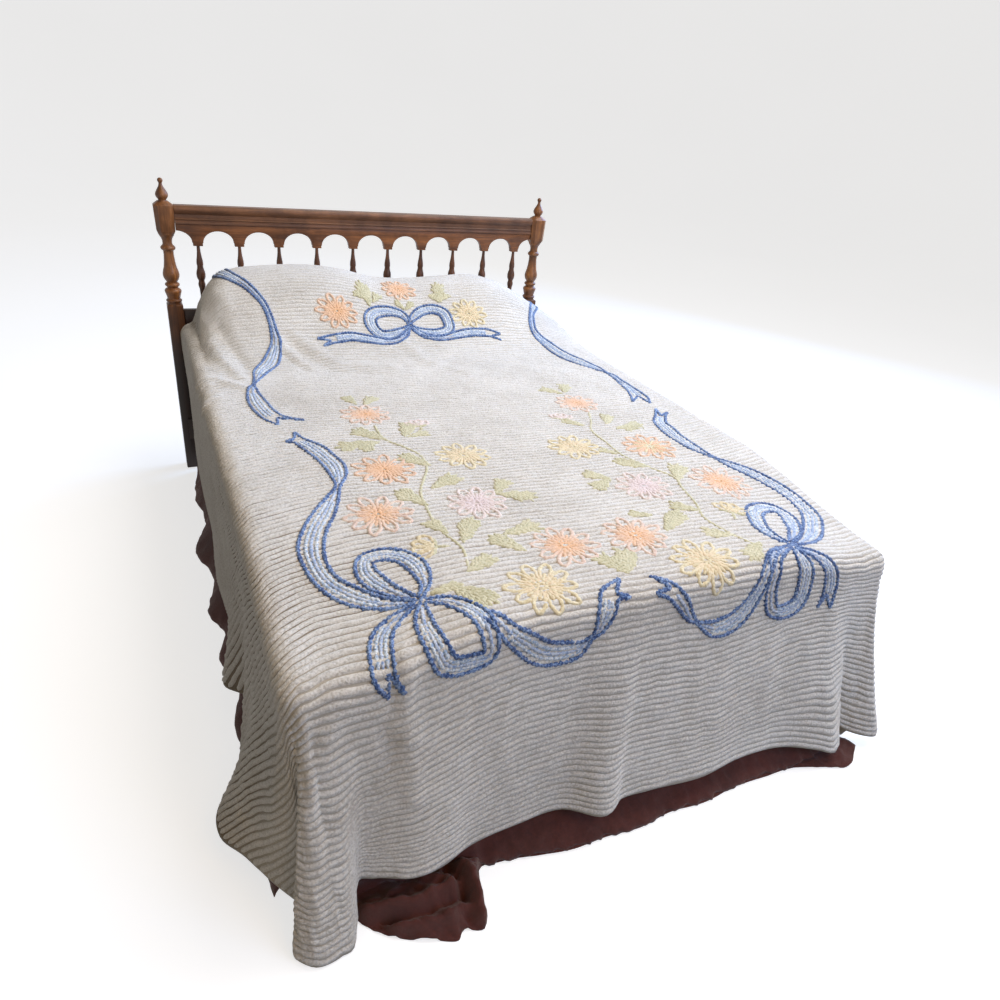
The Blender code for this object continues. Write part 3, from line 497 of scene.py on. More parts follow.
def gridMesh(name, points, uv, flip=False, breaks=()):  # breaks are columns with no faces after them
    rows, columns = points.shape[:2]
    made = bmesh.new()
    bmesh.ops.create_grid(made, x_segments=columns - 1, y_segments=rows - 1, size=1.0)
    if len(breaks):
        made.faces.ensure_lookup_table()
        gone = [made.faces[row * (columns - 1) + column] for row in range(rows - 1) for column in breaks]
        bmesh.ops.delete(made, geom=gone, context="FACES")
    if flip:
        bmesh.ops.reverse_faces(made, faces=made.faces)
    mesh = meshFrom(made, name)
    mesh.vertices.foreach_set("co", points.reshape(-1))
    layer = mesh.uv_layers.new(name="cloth")
    corner = np.empty(len(mesh.loops), int)
    mesh.loops.foreach_get("vertex_index", corner)
    layer.data.foreach_set("uv", uv.reshape(-1, 2)[corner].reshape(-1))
    mesh.update()
    mesh.shade_smooth()
    return mesh


def stitchPath(points, step):  # a smooth, evenly stepped line through a few readings
    points = np.array(points, float)
    at = lengthsAlong(points[:, 0], points[:, 1])
    count = max(int(round(at[-1] / step)), 3)
    rows = np.column_stack([at, points])
    want = np.linspace(0.0, at[-1], count + 1)
    return np.column_stack([curveThrough(rows, column, want) for column in range(1, rows.shape[1])])


def sideOfPath(path):
    ahead = np.gradient(path[:, :2], axis=0)
    ahead /= np.linalg.norm(ahead, axis=1, keepdims=True) + 1e-9
    return np.column_stack([ahead[:, 1], -ahead[:, 0]])


def runsWhere(true):  # the stretches of numbers where something holds
    runs = np.split(np.arange(len(true)), np.flatnonzero(np.diff(true.astype(int))) + 1)
    return [run for run in runs if true[run[0]]]


tuft = {"offsets": (-1.0, -0.74, 0.0, 0.74, 1.0), "heights": (-0.45, 0.70, 1.0, 0.70, -0.45), "seed": 7,
        "uneven": (0.84, 1.14), "endSize": 0.4, "betweenBeads": 0.35}


def tuftLines(name, lines, width, height, base, bead, material):  # half-round tufted lines on the cloth
    rng = np.random.default_rng(tuft["seed"])
    u, v, scale = [], [], []
    for line in lines:
        path, side = line[:, :2], sideOfPath(line)
        beads = 1.0 - bead * np.array([0.0, tuft["betweenBeads"], 1.0])[np.arange(len(path)) % 3]
        size = beads * rng.uniform(*tuft["uneven"], len(path)) * (line[:, 2] if line.shape[1] > 2 else 1.0)
        size[[0, -1]] *= tuft["endSize"]
        offsets = np.array(tuft["offsets"])[:, None] * size[None] * width
        u.append(path[None, :, 0] + side[None, :, 0] * offsets)
        v.append(path[None, :, 1] + side[None, :, 1] * offsets)
        scale.append(size)
    ends = np.cumsum([part.shape[1] for part in u])[:-1] - 1
    u, v, scale = np.concatenate(u, 1), np.concatenate(v, 1), np.concatenate(scale)
    lift = base + np.array(tuft["heights"])[:, None] * height * scale[None]
    mesh = gridMesh(name, onCloth(u, v, lift), np.stack([u, v], -1), breaks=list(ends))
    return placePiece(name, mesh, material)


print("making materials")
paleFloor = makeFloorPaint()
# painted shade between the rows down the left side: a tint, then the axes that it comes in along: where it starts,
# and where it is full
groundPaintedShade = ((172, 163, 150), (("X", 0.20, -0.70), ("Y", 0.55, 0.90), ("Y", 1.98, 1.84)))
# the ground's tint is darker than the yarn's own, as painted shade in the grooves between the rows
groundCloth = makeWeave("groundCloth", (198, 190, 177), (164, 156, 143), 1100.0, deep=groundPaintedShade)
maroonCloth = makeWeave("maroonCloth", (94, 46, 38), (57, 27, 22), 1700.0, sheen=0.2, blotch=9.0, rough=0.8)
pillowCotton = makeWeave("pillowCotton", (236, 234, 230), (222, 219, 212), 2200.0, blotch=4.0)
yarnTints = {  # light, middle, dark, size of blotches, evenness and the tint of a flower's heart
    "white": ((230, 226, 219), (215, 210, 202), (188, 181, 171), 5.0),
    "blue": ((140, 164, 202), (74, 106, 158), (42, 66, 114), 34.0, 0.6),
    "paleBlue": ((234, 236, 236), (196, 208, 220), (134, 160, 194), 60.0, 0.7),
    "violet": ((214, 220, 230), (172, 187, 212), (130, 152, 190), 36.0, 0.7),
    "orange": ((238, 210, 184), (230, 194, 164), (210, 168, 140), 40.0, 1.0, (236, 184, 136)),
    "peach": ((236, 218, 198), (228, 202, 184), (210, 180, 162), 40.0, 1.0, (236, 184, 136)),
    "yellow": ((236, 226, 196), (228, 213, 174), (210, 192, 150), 40.0, 1.0, (232, 204, 166)),
    "gold": ((232, 220, 186), (222, 204, 164), (204, 182, 142), 30.0),
    "pink": ((236, 223, 212), (228, 210, 201), (208, 188, 180), 40.0, 1.0, (222, 202, 200)),
    "sage": ((220, 212, 180), (204, 197, 160), (178, 171, 132), 16.0),
}
yarns = {name: makeYarn(name + "Yarn", *tints) for name, tints in yarnTints.items()}
ticking = makeTicking()
# painted shade on the posts' legs: darker below the block, and darker again down under the bed
legShades = ((0.63, 0.68, (168, 158, 152)), (0.42, 0.60, (108, 98, 96)))
uprightWalnut = makeWood("uprightWalnut", (184, 122, 66), (142, 90, 47), (86, 51, 26), 2, legShades)
spindleWalnut = makeWood("spindleWalnut", (132, 82, 48), (94, 56, 34), (54, 32, 20), 2)
railWalnut = makeWood("railWalnut", (140, 92, 56), (112, 72, 44), (82, 51, 31), 0)
warmWalnut = makeWood("warmWalnut", (168, 106, 58), (130, 80, 44), (84, 48, 25), 0)
# the lower board's tint is painted shade: much darker than the other walnut, for it stands in shade behind the
# mattress
shadedWalnut = makeWood("shadedWalnut", (70, 40, 29), (48, 27, 20), (28, 17, 13), 0)
brownSteel = makeFrameSteel()


# the spread: ground cloth, hem, chenille rows and motifs

spread = {"columns": 176, "rows": 186, "thickness": 0.0022, "hemWidth": 0.0036, "hemHeight": 0.0012,
          "hemBase": 0.0010, "hemInset": 0.006, "hemStep": 0.01}


def makeSpreadCloth():
    u, v = np.meshgrid(np.linspace(-cloth["half"], cloth["half"], spread["columns"] + 1),
                       np.linspace(0.0, drape["whole"], spread["rows"] + 1))
    mesh = gridMesh("spreadCloth", onCloth(u, v), np.stack([u, v], -1), flip=True)
    piece = placePiece("spreadCloth", mesh, groundCloth, ["bedspread"])
    thicken(piece, spread["thickness"])
    return piece


def makeSpreadHem():
    inset = spread["hemInset"]
    edge, whole = cloth["half"] - inset, drape["whole"] - inset
    corners = ((-edge, inset), (-edge, whole), (edge, whole), (edge, inset), (-edge, inset))
    lines = []
    for start, end in zip(corners, corners[1:]):
        share = np.linspace(0.0, 1.0, int(math.dist(start, end) / spread["hemStep"]) + 1)[:, None]
        lines.append(np.array(start) * (1 - share) + np.array(end) * share)
    return tuftLines("spreadHem", lines, spread["hemWidth"], spread["hemHeight"], spread["hemBase"], 0.0, groundCloth)


rows = {
    "pitch": 0.0145, "fill": 0.472, "headFill": 0.520, "height": 0.0036, "headHeight": 0.0015, "base": 0.0009,
    "late": (0.45, 0.95),  # how far down the head's sizes give way to the others
    "leftApart": 0.09, "leftTall": 0.25, "leftAcross": (0.52, 0.72), "leftDown": (0.65, 1.0),
    "first": 0.016, "past": 0.22, "edge": 0.005, "shy": 0.003, "shortest": 6,
    "keep": (0.0096, 0.0072),  # no row runs nearer to the head's edge, or to the foot's
    "topStep": 0.0100, "sideStep": 0.0068, "least": 0.0045, "most": 0.0185, "tallLimits": (0.55, 1.1),
    "seed": 11, "uneven": (0.88, 1.08), "unevenSpots": 130, "wander": 0.0006, "wanderSpots": 70, "endSize": 0.35,
    "slantHead": 0.75, "slant": 1.20, "slantFullAt": 1.2, "slantCorner": 0.15, "cornerFullAt": 0.2,
    "slantFoot": 0.30, "footSlantFrom": (1.65, 1.90), "slantEase": 0.6, "slantFrom": 0.03,
    "turnShare": 0.6, "turnEase": 0.03, "overFold": 0.08,
    "courseSpans": ((0.5, 1.25), (1.62, 1.86), (1.90, 2.22)),  # how far down one course gives way to the next
    "courseEnds": (0.25, 0.16, 0.02), "patchOver": (2.7, 2.5), "patchFrom": (0.05, 1.22),
    "courses": (  # u, then how far a row lies down the bed: at the head, halfway, at the foot and on the drop
        (-1.195, 0, 0, 0, 0), (-.78, 0, .004, 0, .018), (-.7, -.004, .006, -.01, .012),
        (-.66, -.007, -.006, -.028, .008), (-.62, -.01, -.016, -.042, .018), (-.58, -.012, -.026, -.042, .036),
        (-.55, -.013, -.032, -.037, .04), (-.48, -.014, -.038, -.031, .03), (-.42, -.013, -.034, -.027, .02),
        (-.2, -.008, -.016, -.012, -.006), (0, 0, 0, 0, 0), (.25, .004, .012, .014, .008),
        (.34, .004, .016, .017, -.006), (.42, .004, .018, .018, -.026), (.52, .003, .016, .016, -.044),
        (.6, .002, .004, .01, -.04), (.65, 0, -.004, .006, -.034), (.76, 0, -.004, 0, -.018), (1.195, 0, 0, 0, 0),
    ),
    "sways": ((0.022, 0.055, 0.0008, 0.0011), (0.080, 0.140, 0.0015, 0.0018)),  # along, deep, on top, on a drop
    "crinkle": (0.013, 0.040, 0.13, 0.22),
}
foldV = drape["whole"] - cloth["drop"]  # where the top turns down over the foot


def courseShift(u, v):
    shift, *later = (curveThrough(rows["courses"], column, u) for column in (1, 2, 3, 4))
    for course, span in zip(later, rows["courseSpans"]):
        shift = shift + (course - shift) * smoothStep(v, *span)
    whole, (start, near, far) = drape["whole"], rows["courseEnds"]
    return shift * smoothStep(v, 0.0, start) * (1.0 - smoothStep(v, whole - near, whole - far))


def rowPath(u, start):  # a row drifts towards the head as it goes down the sides
    beyond = np.maximum(np.abs(u) - cloth["topHalf"], 0.0)
    past = max(start - foldV, 0.0)
    run = np.maximum(beyond - rows["slantFrom"] - rows["turnShare"] * past, 0.0)
    run = run * run / (run + rows["turnEase"])
    slope = rows["slantHead"] + (rows["slant"] - rows["slantHead"]) * min(start / rows["slantFullAt"], 1.0)
    slope += rows["slantCorner"] * min(past / rows["cornerFullAt"], 1.0)
    slope *= 1.0 - rows["slantFoot"] * smoothStep(start, *rows["footSlantFrom"])
    return start + courseShift(u, start) - slope * (run - rows["slantEase"] * run * run)


def patchy(u, v, along, deep, rng):  # smooth random unevenness, in patches of a size
    (high, wide), (fromV, fromU) = rows["patchOver"], rows["patchFrom"]
    field = rng.standard_normal((int(high / deep) + 3, int(wide / along) + 3))
    column, row = (u + fromU) / along, (v + fromV) / deep
    c, r = column.astype(int), row.astype(int)
    return between(field, r, c, smoothStep(row - r, 0.0, 1.0), smoothStep(column - c, 0.0, 1.0))


def makeChenilleRows():
    top, edge, whole = cloth["topHalf"], cloth["half"] - rows["edge"], drape["whole"]
    keepFrom, keepTo = rows["keep"][0], whole - rows["keep"][1]
    side = np.arange(top, edge, rows["sideStep"])
    middle = np.linspace(-top, top, int(2 * top / rows["topStep"]))
    u = np.concatenate([-side[:0:-1], middle, side[1:]])
    pieces = []
    for part in range(3):
        parts = []
        rng = np.random.default_rng(rows["seed"] + part)
        for number in range(part, int((whole + rows["past"]) / rows["pitch"]), 3):
            start = rows["first"] + number * rows["pitch"]
            v = rowPath(u, start)
            gap = rowPath(u, start + rows["pitch"]) - v
            for run in runsWhere((v > keepFrom) & (v < keepTo)):
                if len(run) < rows["shortest"]:
                    continue
                across, down = u[run], v[run]
                spots = rows["unevenSpots"]
                fullness = np.interp(across, np.linspace(-1.2, 1.2, spots), rng.uniform(*rows["uneven"], spots))
                fullness[[0, -1]] *= rows["endSize"]
                spots = rows["wanderSpots"]
                wander = np.interp(across, np.linspace(-1.2, 1.2, spots), rng.normal(0.0, rows["wander"], spots))
                tilt = np.gradient(down, across)
                lean = np.sqrt(1.0 + tilt * tilt)
                late = smoothStep(down, *rows["late"])
                apart = smoothStep(-across, *rows["leftAcross"]) * smoothStep(down, *rows["leftDown"])
                fill = rows["headFill"] + (rows["fill"] - rows["headFill"]) * late
                fill = fill * (1.0 - rows["leftApart"] * apart)
                wide = np.clip(gap[run] / lean, rows["least"], rows["most"]) * fill * fullness
                offsets = np.array(tuft["offsets"])[::-1, None] * wide[None]
                tall = rows["headHeight"] + (rows["height"] - rows["headHeight"]) * late
                tall *= fullness * np.clip(wide / (rows["pitch"] * rows["fill"]), *rows["tallLimits"])
                tall *= 1.0 + rows["leftTall"] * apart
                parts.append((across[None] - offsets * tilt / lean, (down + wander)[None] + offsets / lean,
                              rows["base"] + np.array(tuft["heights"])[:, None] * tall[None]))
        ends = np.cumsum([len(group[0][0]) for group in parts])[:-1] - 1
        allU, allV, allLift = (np.concatenate(group, 1) for group in zip(*parts))
        over = rows["overFold"]
        hung = np.maximum(smoothStep(np.abs(allU), top, top + over), smoothStep(allV, foldV, foldV + over))
        shared = np.random.default_rng(rows["seed"])
        for along, deep, onTop, onDrop in rows["sways"]:
            allV = allV + patchy(allU, allV, along, deep, shared) * (onTop + (onDrop - onTop) * hung)
        along, deep, onTop, onDrop = rows["crinkle"]
        allLift = allLift * (1.0 + patchy(allU, allV, along, deep, shared) * (onTop + (onDrop - onTop) * hung))
        allU = np.clip(allU, rows["shy"] - cloth["half"], cloth["half"] - rows["shy"])
        allV = np.clip(allV, rows["shy"], whole - rows["shy"])
        mesh = gridMesh("chenilleRows", onCloth(allU, allV, allLift), np.stack([allU, allV], -1), breaks=ends)
        pieces.append(placePiece("chenilleRows" + "ABC"[part], mesh, yarns["white"]))
    return pieces


# motifs, read on the cloth: (u, v) in metres across it and down it

ribbons = {
    "step": 0.0035, "bead": 0.42, "least": 0.0015, "edgeWidth": 0.0055, "edgeHeight": 0.0040, "edgeBase": 0.0033,
    "streakWidth": 0.0050, "streakHeight": 0.0032, "streakBase": 0.0029, "middleBase": 0.0030,
    "streaks": ((-0.42, 0.0145, "pale"), (0.0, 0.0062, "violet"), (0.42, 0.0145, "pale")),  # aside, from which width
    "lines": (  # middle line with its half width, then the cut ends: two tips and the notch
        {"line": ((-.56, .06, .022), (-.56, .14, .022), (-.558, .2, .023), (-.54, .25, .019), (-.505, .3, .013),
                 (-.476, .35, .01), (-.453, .4, .007), (-.443, .45, .007), (-.44, .5, .009), (-.441, .55, .013),
                 (-.456, .6, .019), (-.477, .65, .023), (-.512, .7, .019), (-.53, .75, .009), (-.548, .8, .002),
                 (-.558, .85, .012), (-.56, .9, .019), (-.557, .95, .023), (-.55, 1, .023), (-.541, 1.035, .024)),
         "end": ((-.534, 1.095), (-.464, 1.08), (-.528, 1.05))},
        {"line": ((.668, .1, .012), (.655, .17, .012), (.633, .24, .014), (.594, .3, .014), (.561, .35, .011),
                 (.531, .4, .008), (.511, .45, .01), (.497, .5, .011), (.5, .55, .017), (.515, .6, .023),
                 (.526, .65, .026), (.539, .7, .028), (.555, .75, .028), (.571, .8, .021), (.588, .85, .012),
                 (.594, .88, .003), (.6, .92, .01), (.597, .95, .009), (.591, 1, .014), (.586, 1.05, .018),
                 (.576, 1.1, .026)),
         "end": ((.525, 1.141), (.577, 1.164), (.573, 1.103))},
        {"start": ((-.5045, 1.148), (-.5355, 1.199), (-.511, 1.185)),
         "line": ((-.5, 1.205, .016), (-.478, 1.25, .023), (-.464, 1.3, .022), (-.4545, 1.35, .0225),
                 (-.457, 1.4, .017), (-.471, 1.45, .005), (-.4955, 1.5, .013), (-.524, 1.55, .021),
                 (-.5545, 1.6, .0225), (-.574, 1.65, .024), (-.577, 1.7, .0205), (-.567, 1.75, .0195),
                 (-.5375, 1.8, .021), (-.505, 1.835, .016), (-.47, 1.858, .009), (-.438, 1.868, .003))},
        {"line": ((-.43, 1.865, .003), (-.409, 1.835, .008), (-.404, 1.8, .015), (-.408, 1.765, .019),
                 (-.425, 1.735, .017), (-.455, 1.718, .017), (-.488, 1.722, .016), (-.496, 1.75, .018),
                 (-.488, 1.785, .019), (-.472, 1.815, .014), (-.448, 1.848, .008), (-.435, 1.862, .003))},
        {"line": ((-.425, 1.875, .003), (-.395, 1.89, .01), (-.372, 1.915, .014), (-.355, 1.95, .016),
                 (-.348, 1.99, .014), (-.35, 2.03, .014), (-.385, 2.032, .018), (-.425, 2.018, .018),
                 (-.44, 1.985, .018), (-.446, 1.945, .016), (-.44, 1.905, .012), (-.43, 1.878, .003))},
        {"line": ((-.44, 1.875, .003), (-.463, 1.882, .006), (-.49, 1.895, .012), (-.515, 1.915, .017),
                 (-.53, 1.95, .019), (-.535, 1.98, .019)),
         "end": ((-.528, 2.043), (-.502, 2.036), (-.53, 1.985))},
        {"line": ((-.345, 1.955, .008), (-.335, 1.965, .01), (-.31, 1.998, .015), (-.28, 2.025, .022),
                 (-.24, 2.058, .025), (-.2, 2.07, .024), (-.165, 2.068, .018), (-.14, 2.05, .004),
                 (-.125, 2.035, .01), (-.115, 2.005, .018), (-.105, 1.98, .018)),
         "end": ((-.059, 1.941), (-.057, 1.984), (-.086, 1.972))},
        {"start": ((.564, 1.209), (.586, 1.24), (.545, 1.262)),
         "line": ((.538, 1.268, .015), (.513, 1.3, .018), (.501, 1.35, .022), (.493, 1.4, .0205),
                 (.493, 1.45, .0185), (.5, 1.5, .012), (.514, 1.54, .003), (.535, 1.58, .014), (.565, 1.62, .02),
                 (.592, 1.67, .023), (.61, 1.72, .022), (.613, 1.77, .023), (.605, 1.81, .025), (.58, 1.84, .024),
                 (.54, 1.875, .022), (.5, 1.9, .018), (.45, 1.922, .01), (.405, 1.935, .003))},
        {"line": ((.395, 1.93, .003), (.378, 1.905, .013), (.375, 1.87, .018), (.395, 1.83, .019),
                 (.422, 1.795, .02), (.46, 1.778, .019), (.505, 1.78, .018), (.517, 1.81, .022), (.5, 1.845, .02),
                 (.47, 1.88, .014), (.435, 1.905, .008), (.405, 1.925, .003))},
        {"line": ((.385, 1.945, .003), (.345, 1.957, .008), (.31, 1.975, .014), (.303, 2.01, .013),
                 (.303, 2.06, .014), (.315, 2.095, .014), (.35, 2.102, .018), (.385, 2.085, .018),
                 (.4, 2.045, .021), (.398, 2.005, .021), (.388, 1.975, .016), (.388, 1.948, .004))},
        {"line": ((.395, 1.945, .003), (.41, 1.955, .006), (.445, 1.972, .012), (.475, 1.995, .018),
                 (.49, 2.03, .022), (.487, 2.06, .02)),
         "end": ((.491, 2.096), (.45, 2.098), (.48, 2.06))},
        {"line": ((.35, 1.947, .003), (.31, 1.965, .008), (.28, 1.995, .012), (.262, 2.035, .016), (.24, 2.07, .02),
                 (.205, 2.097, .024), (.165, 2.102, .02), (.13, 2.088, .008), (.113, 2.078, .002),
                 (.09, 2.058, .008), (.068, 2.025, .013), (.045, 1.998, .014)),
         "end": ((.002, 1.952), (-.002, 1.987), (.036, 1.984))},
        {"line": ((.018, .465, .003), (.008, .43, .014), (-.025, .412, .02), (-.075, .418, .022), (-.112, .445, .02),
                 (-.117, .49, .02), (-.095, .525, .02), (-.05, .525, .02), (-.01, .505, .014), (.018, .478, .003))},
        {"line": ((.022, .465, .003), (.045, .437, .013), (.08, .408, .018), (.125, .4, .021), (.158, .42, .02),
                 (.165, .46, .018), (.158, .5, .017), (.12, .518, .018), (.07, .515, .018), (.035, .497, .012),
                 (.024, .478, .003))},
        {"line": ((.015, .485, .004), (-.01, .525, .01), (-.05, .553, .012), (-.1, .558, .015), (-.15, .547, .016),
                 (-.2, .538, .017), (-.25, .545, .017)),
         "end": ((-.312, .543), (-.298, .577), (-.268, .553))},
        {"line": ((.027, .485, .004), (.05, .522, .01), (.09, .542, .012), (.14, .543, .013), (.19, .532, .017),
                 (.24, .525, .018), (.29, .53, .018)),
         "end": ((.346, .54), (.338, .575), (.305, .55))},
    ),
    "knots": ((-.43, 1.87), (.395, 1.938), (.021, .471)),
    "knotStitches": (((-.012, -.004), (0, .002), (.012, -.002)), ((-.006, .008), (0, 0), (.006, -.008))),
}


def cutEnd(edges, middle, side, end):  # runs both edges on to the tips, and adds the notch between
    first, second, notch = (np.array(point) for point in end)
    if np.dot(first - middle, side) < np.dot(second - middle, side):
        first, second = second, first
    edges[0] = np.vstack([edges[0], first])
    edges[1] = np.vstack([edges[1], second])
    return [(first, (first + notch) / 2, notch), (notch, (second + notch) / 2, second)]


def makeRibbons():
    step = ribbons["step"]
    lines = {"dark": [], "pale": [], "violet": []}
    for ribbon in ribbons["lines"]:
        path = stitchPath(ribbon["line"], step)
        path[:, 2] = np.maximum(path[:, 2], ribbons["least"])
        side = sideOfPath(path)
        edges = [path[:, :2] + side * path[:, 2:], path[:, :2] - side * path[:, 2:]]
        for key, at in (("end", -1), ("start", 0)):
            if key in ribbon:
                if key == "start":
                    edges = [edge[::-1] for edge in edges]
                notches = cutEnd(edges, path[at, :2], side[at], ribbon[key])
                lines["dark"] += [stitchPath(notch, step) for notch in notches]
        lines["dark"] += [stitchPath(edge, step) for edge in edges]
        for share, least, tone in ribbons["streaks"]:
            lines[tone] += [path[run, :2] + side[run] * path[run, 2:] * share
                            for run in runsWhere(path[:, 2] > least) if len(run) > 4]
    for knot in ribbons["knots"]:
        lines["dark"] += [stitchPath(np.array(knot) + stitch, step) for stitch in ribbons["knotStitches"]]
    edge, streak = (ribbons["edgeWidth"], ribbons["edgeHeight"]), (ribbons["streakWidth"], ribbons["streakHeight"])
    return [
        tuftLines("ribbonEdges", lines["dark"], *edge, ribbons["edgeBase"], ribbons["bead"], yarns["blue"]),
        tuftLines("ribbonStreaks", lines["pale"], *streak, ribbons["streakBase"], ribbons["bead"], yarns["paleBlue"]),
        tuftLines("ribbonMiddles", lines["violet"], *streak, ribbons["middleBase"], ribbons["bead"], yarns["violet"]),
    ]


garden = {
    "step": 0.0045, "width": 0.0053, "height": 0.0029, "base": 0.0034, "bead": 0.34, "petals": 10,
    "petal": ((0.0, 0.15), (0.35, 0.72), (0.62, 1.0), (0.86, 0.72), (1.0, 0.0)),  # along it, and its half width
    "heartRing": 0.008, "petalFrom": 0.014, "petalHalf": 0.50, "stamen": (0.35, 0.60), "stemSize": 0.8,
    "budFan": (-48, -16, 16, 48), "sepalFan": (-80, 80, 180), "sepal": 0.6, "budFrom": 0.004, "budHalf": 0.24,
    "leafHalf": 0.26, "leafLeast": 0.012, "leafMost": 0.024, "leafSwell": (0.86, 0.12),
    "strokeEvery": 0.0125, "strokeUneven": (0.72, 1.28), "strokeFirst": 0.4, "strokeShift": 0.25, "strokesTo": 0.82,
    "strokeLean": 1.5, "strokeMore": 0.004, "strokeBow": 0.001,
    "turnMost": 0.7, "petalSway": 0.05, "petalUneven": (0.92, 1.04), "stamenFrom": 0.006,
    "flowers": (  # u, v, radius, outer yarn, inner yarn
        (-.225, .433, .07, "orange", "orange"), (.025, .29, .062, "orange", "orange"),
        (.254, .433, .07, "yellow", "gold"), (-.302, 1.075, .068, "peach", "orange"),
        (-.141, 1.373, .07, "yellow", "gold"), (-.35, 1.4, .075, "orange", "orange"),
        (-.4205, 1.586, .072, "peach", "orange"), (-.2045, 1.6, .07, "pink", "pink"),
        (-.102, 1.809, .072, "peach", "orange"), (-.214, 1.918, .072, "yellow", "gold"),
        (.336, 1.118, .068, "peach", "peach"), (.164, 1.395, .07, "yellow", "gold"),
        (.373, 1.441, .075, "orange", "gold"), (.218, 1.632, .07, "pink", "pink"),
        (.441, 1.655, .08, "peach", "orange"), (.064, 1.818, .072, "peach", "orange"),
        (.152, 1.941, .074, "yellow", "gold"),
    ),
    "buds": (  # u, v, radius, which way it opens in degrees, yarn
        (-.186, 1.18, .04, 270, "pink"), (-.35, 1.735, .048, 200, "gold"), (.227, 1.22, .04, 290, "pink"),
        (.35, 1.797, .05, 300, "gold"),
    ),
    "leaves": (  # base to tip
        ((-.105, .4), (-.117, .27)), ((-.1, .37), (-.155, .345)), ((-.09, .38), (-.06, .33)),
        ((.165, .37), (.183, .245)), ((.17, .36), (.205, .33)), ((.16, .37), (.135, .32)),
        ((.02, .4), (-.005, .355)), ((.025, .4), (.06, .362)), ((-.305, 1), (-.325, .935)),
        ((-.285, 1.01), (-.245, .95)), ((-.296, 1.241), (-.364, 1.159)), ((-.314, 1.25), (-.432, 1.259)),
        ((-.33, 1.25), (-.368, 1.295)), ((-.2455, 1.236), (-.2045, 1.15)), ((-.24, 1.24), (-.175, 1.22)),
        ((-.236, 1.405), (-.296, 1.332)), ((-.277, 1.514), (-.196, 1.464)), ((-.309, 1.582), (-.359, 1.5)),
        ((-.146, 1.573), (-.096, 1.514)), ((-.146, 1.573), (-.059, 1.614)), ((-.296, 1.741), (-.236, 1.65)),
        ((-.31, 1.7), (-.335, 1.64)), ((-.186, 1.805), (-.236, 1.727)), ((-.205, 1.736), (-.109, 1.716)),
        ((-.327, 1.836), (-.259, 1.796)), ((-.41, 1.862), (-.345, 1.865)), ((-.373, 1.859), (-.309, 1.941)),
        ((-.032, 1.932), (-.055, 1.855)), ((-.032, 1.932), (-.02, 1.87)), ((-.032, 1.932), (.014, 1.855)),
        ((.336, 1.036), (.282, .982)), ((.3455, 1.032), (.382, .959)), ((.27, 1.275), (.225, 1.228)),
        ((.34, 1.28), (.386, 1.218)), ((.35, 1.314), (.45, 1.305)), ((.37, 1.31), (.39, 1.335)),
        ((.26, 1.46), (.225, 1.42)), ((.3, 1.546), (.218, 1.491)), ((.323, 1.632), (.386, 1.546)),
        ((.159, 1.577), (.105, 1.532)), ((.159, 1.577), (.086, 1.614)), ((.277, 1.768), (.223, 1.723)),
        ((.1545, 1.755), (.1, 1.734)), ((.141, 1.823), (.232, 1.75)), ((.286, 1.886), (.218, 1.846)),
        ((.318, 1.918), (.246, 1.968)),
    ),
    "stems": (
        ((-.3, 1.15), (-.298, 1.24), (-.262, 1.3), (-.245, 1.34), (-.25, 1.41), (-.28, 1.47), (-.305, 1.52),
         (-.318, 1.6), (-.322, 1.68), (-.305, 1.76), (-.318, 1.82)),
        ((.336, 1.19), (.3, 1.26), (.275, 1.3), (.268, 1.4), (.265, 1.46), (.29, 1.54), (.325, 1.62), (.31, 1.66),
         (.29, 1.74), (.265, 1.8), (.275, 1.86), (.3, 1.93)),
    ),
}


def towards(angle):
    return np.array([math.cos(angle), math.sin(angle)])


def petalLoop(middle, angle, inner, outer, half):
    forward = towards(angle)
    across = np.array([-forward[1], forward[0]])
    one = garden["petal"]
    outline = one + tuple((along, -wide) for along, wide in one[-2::-1])
    return [middle + forward * (inner + (outer - inner) * along) + across * half * wide for along, wide in outline]


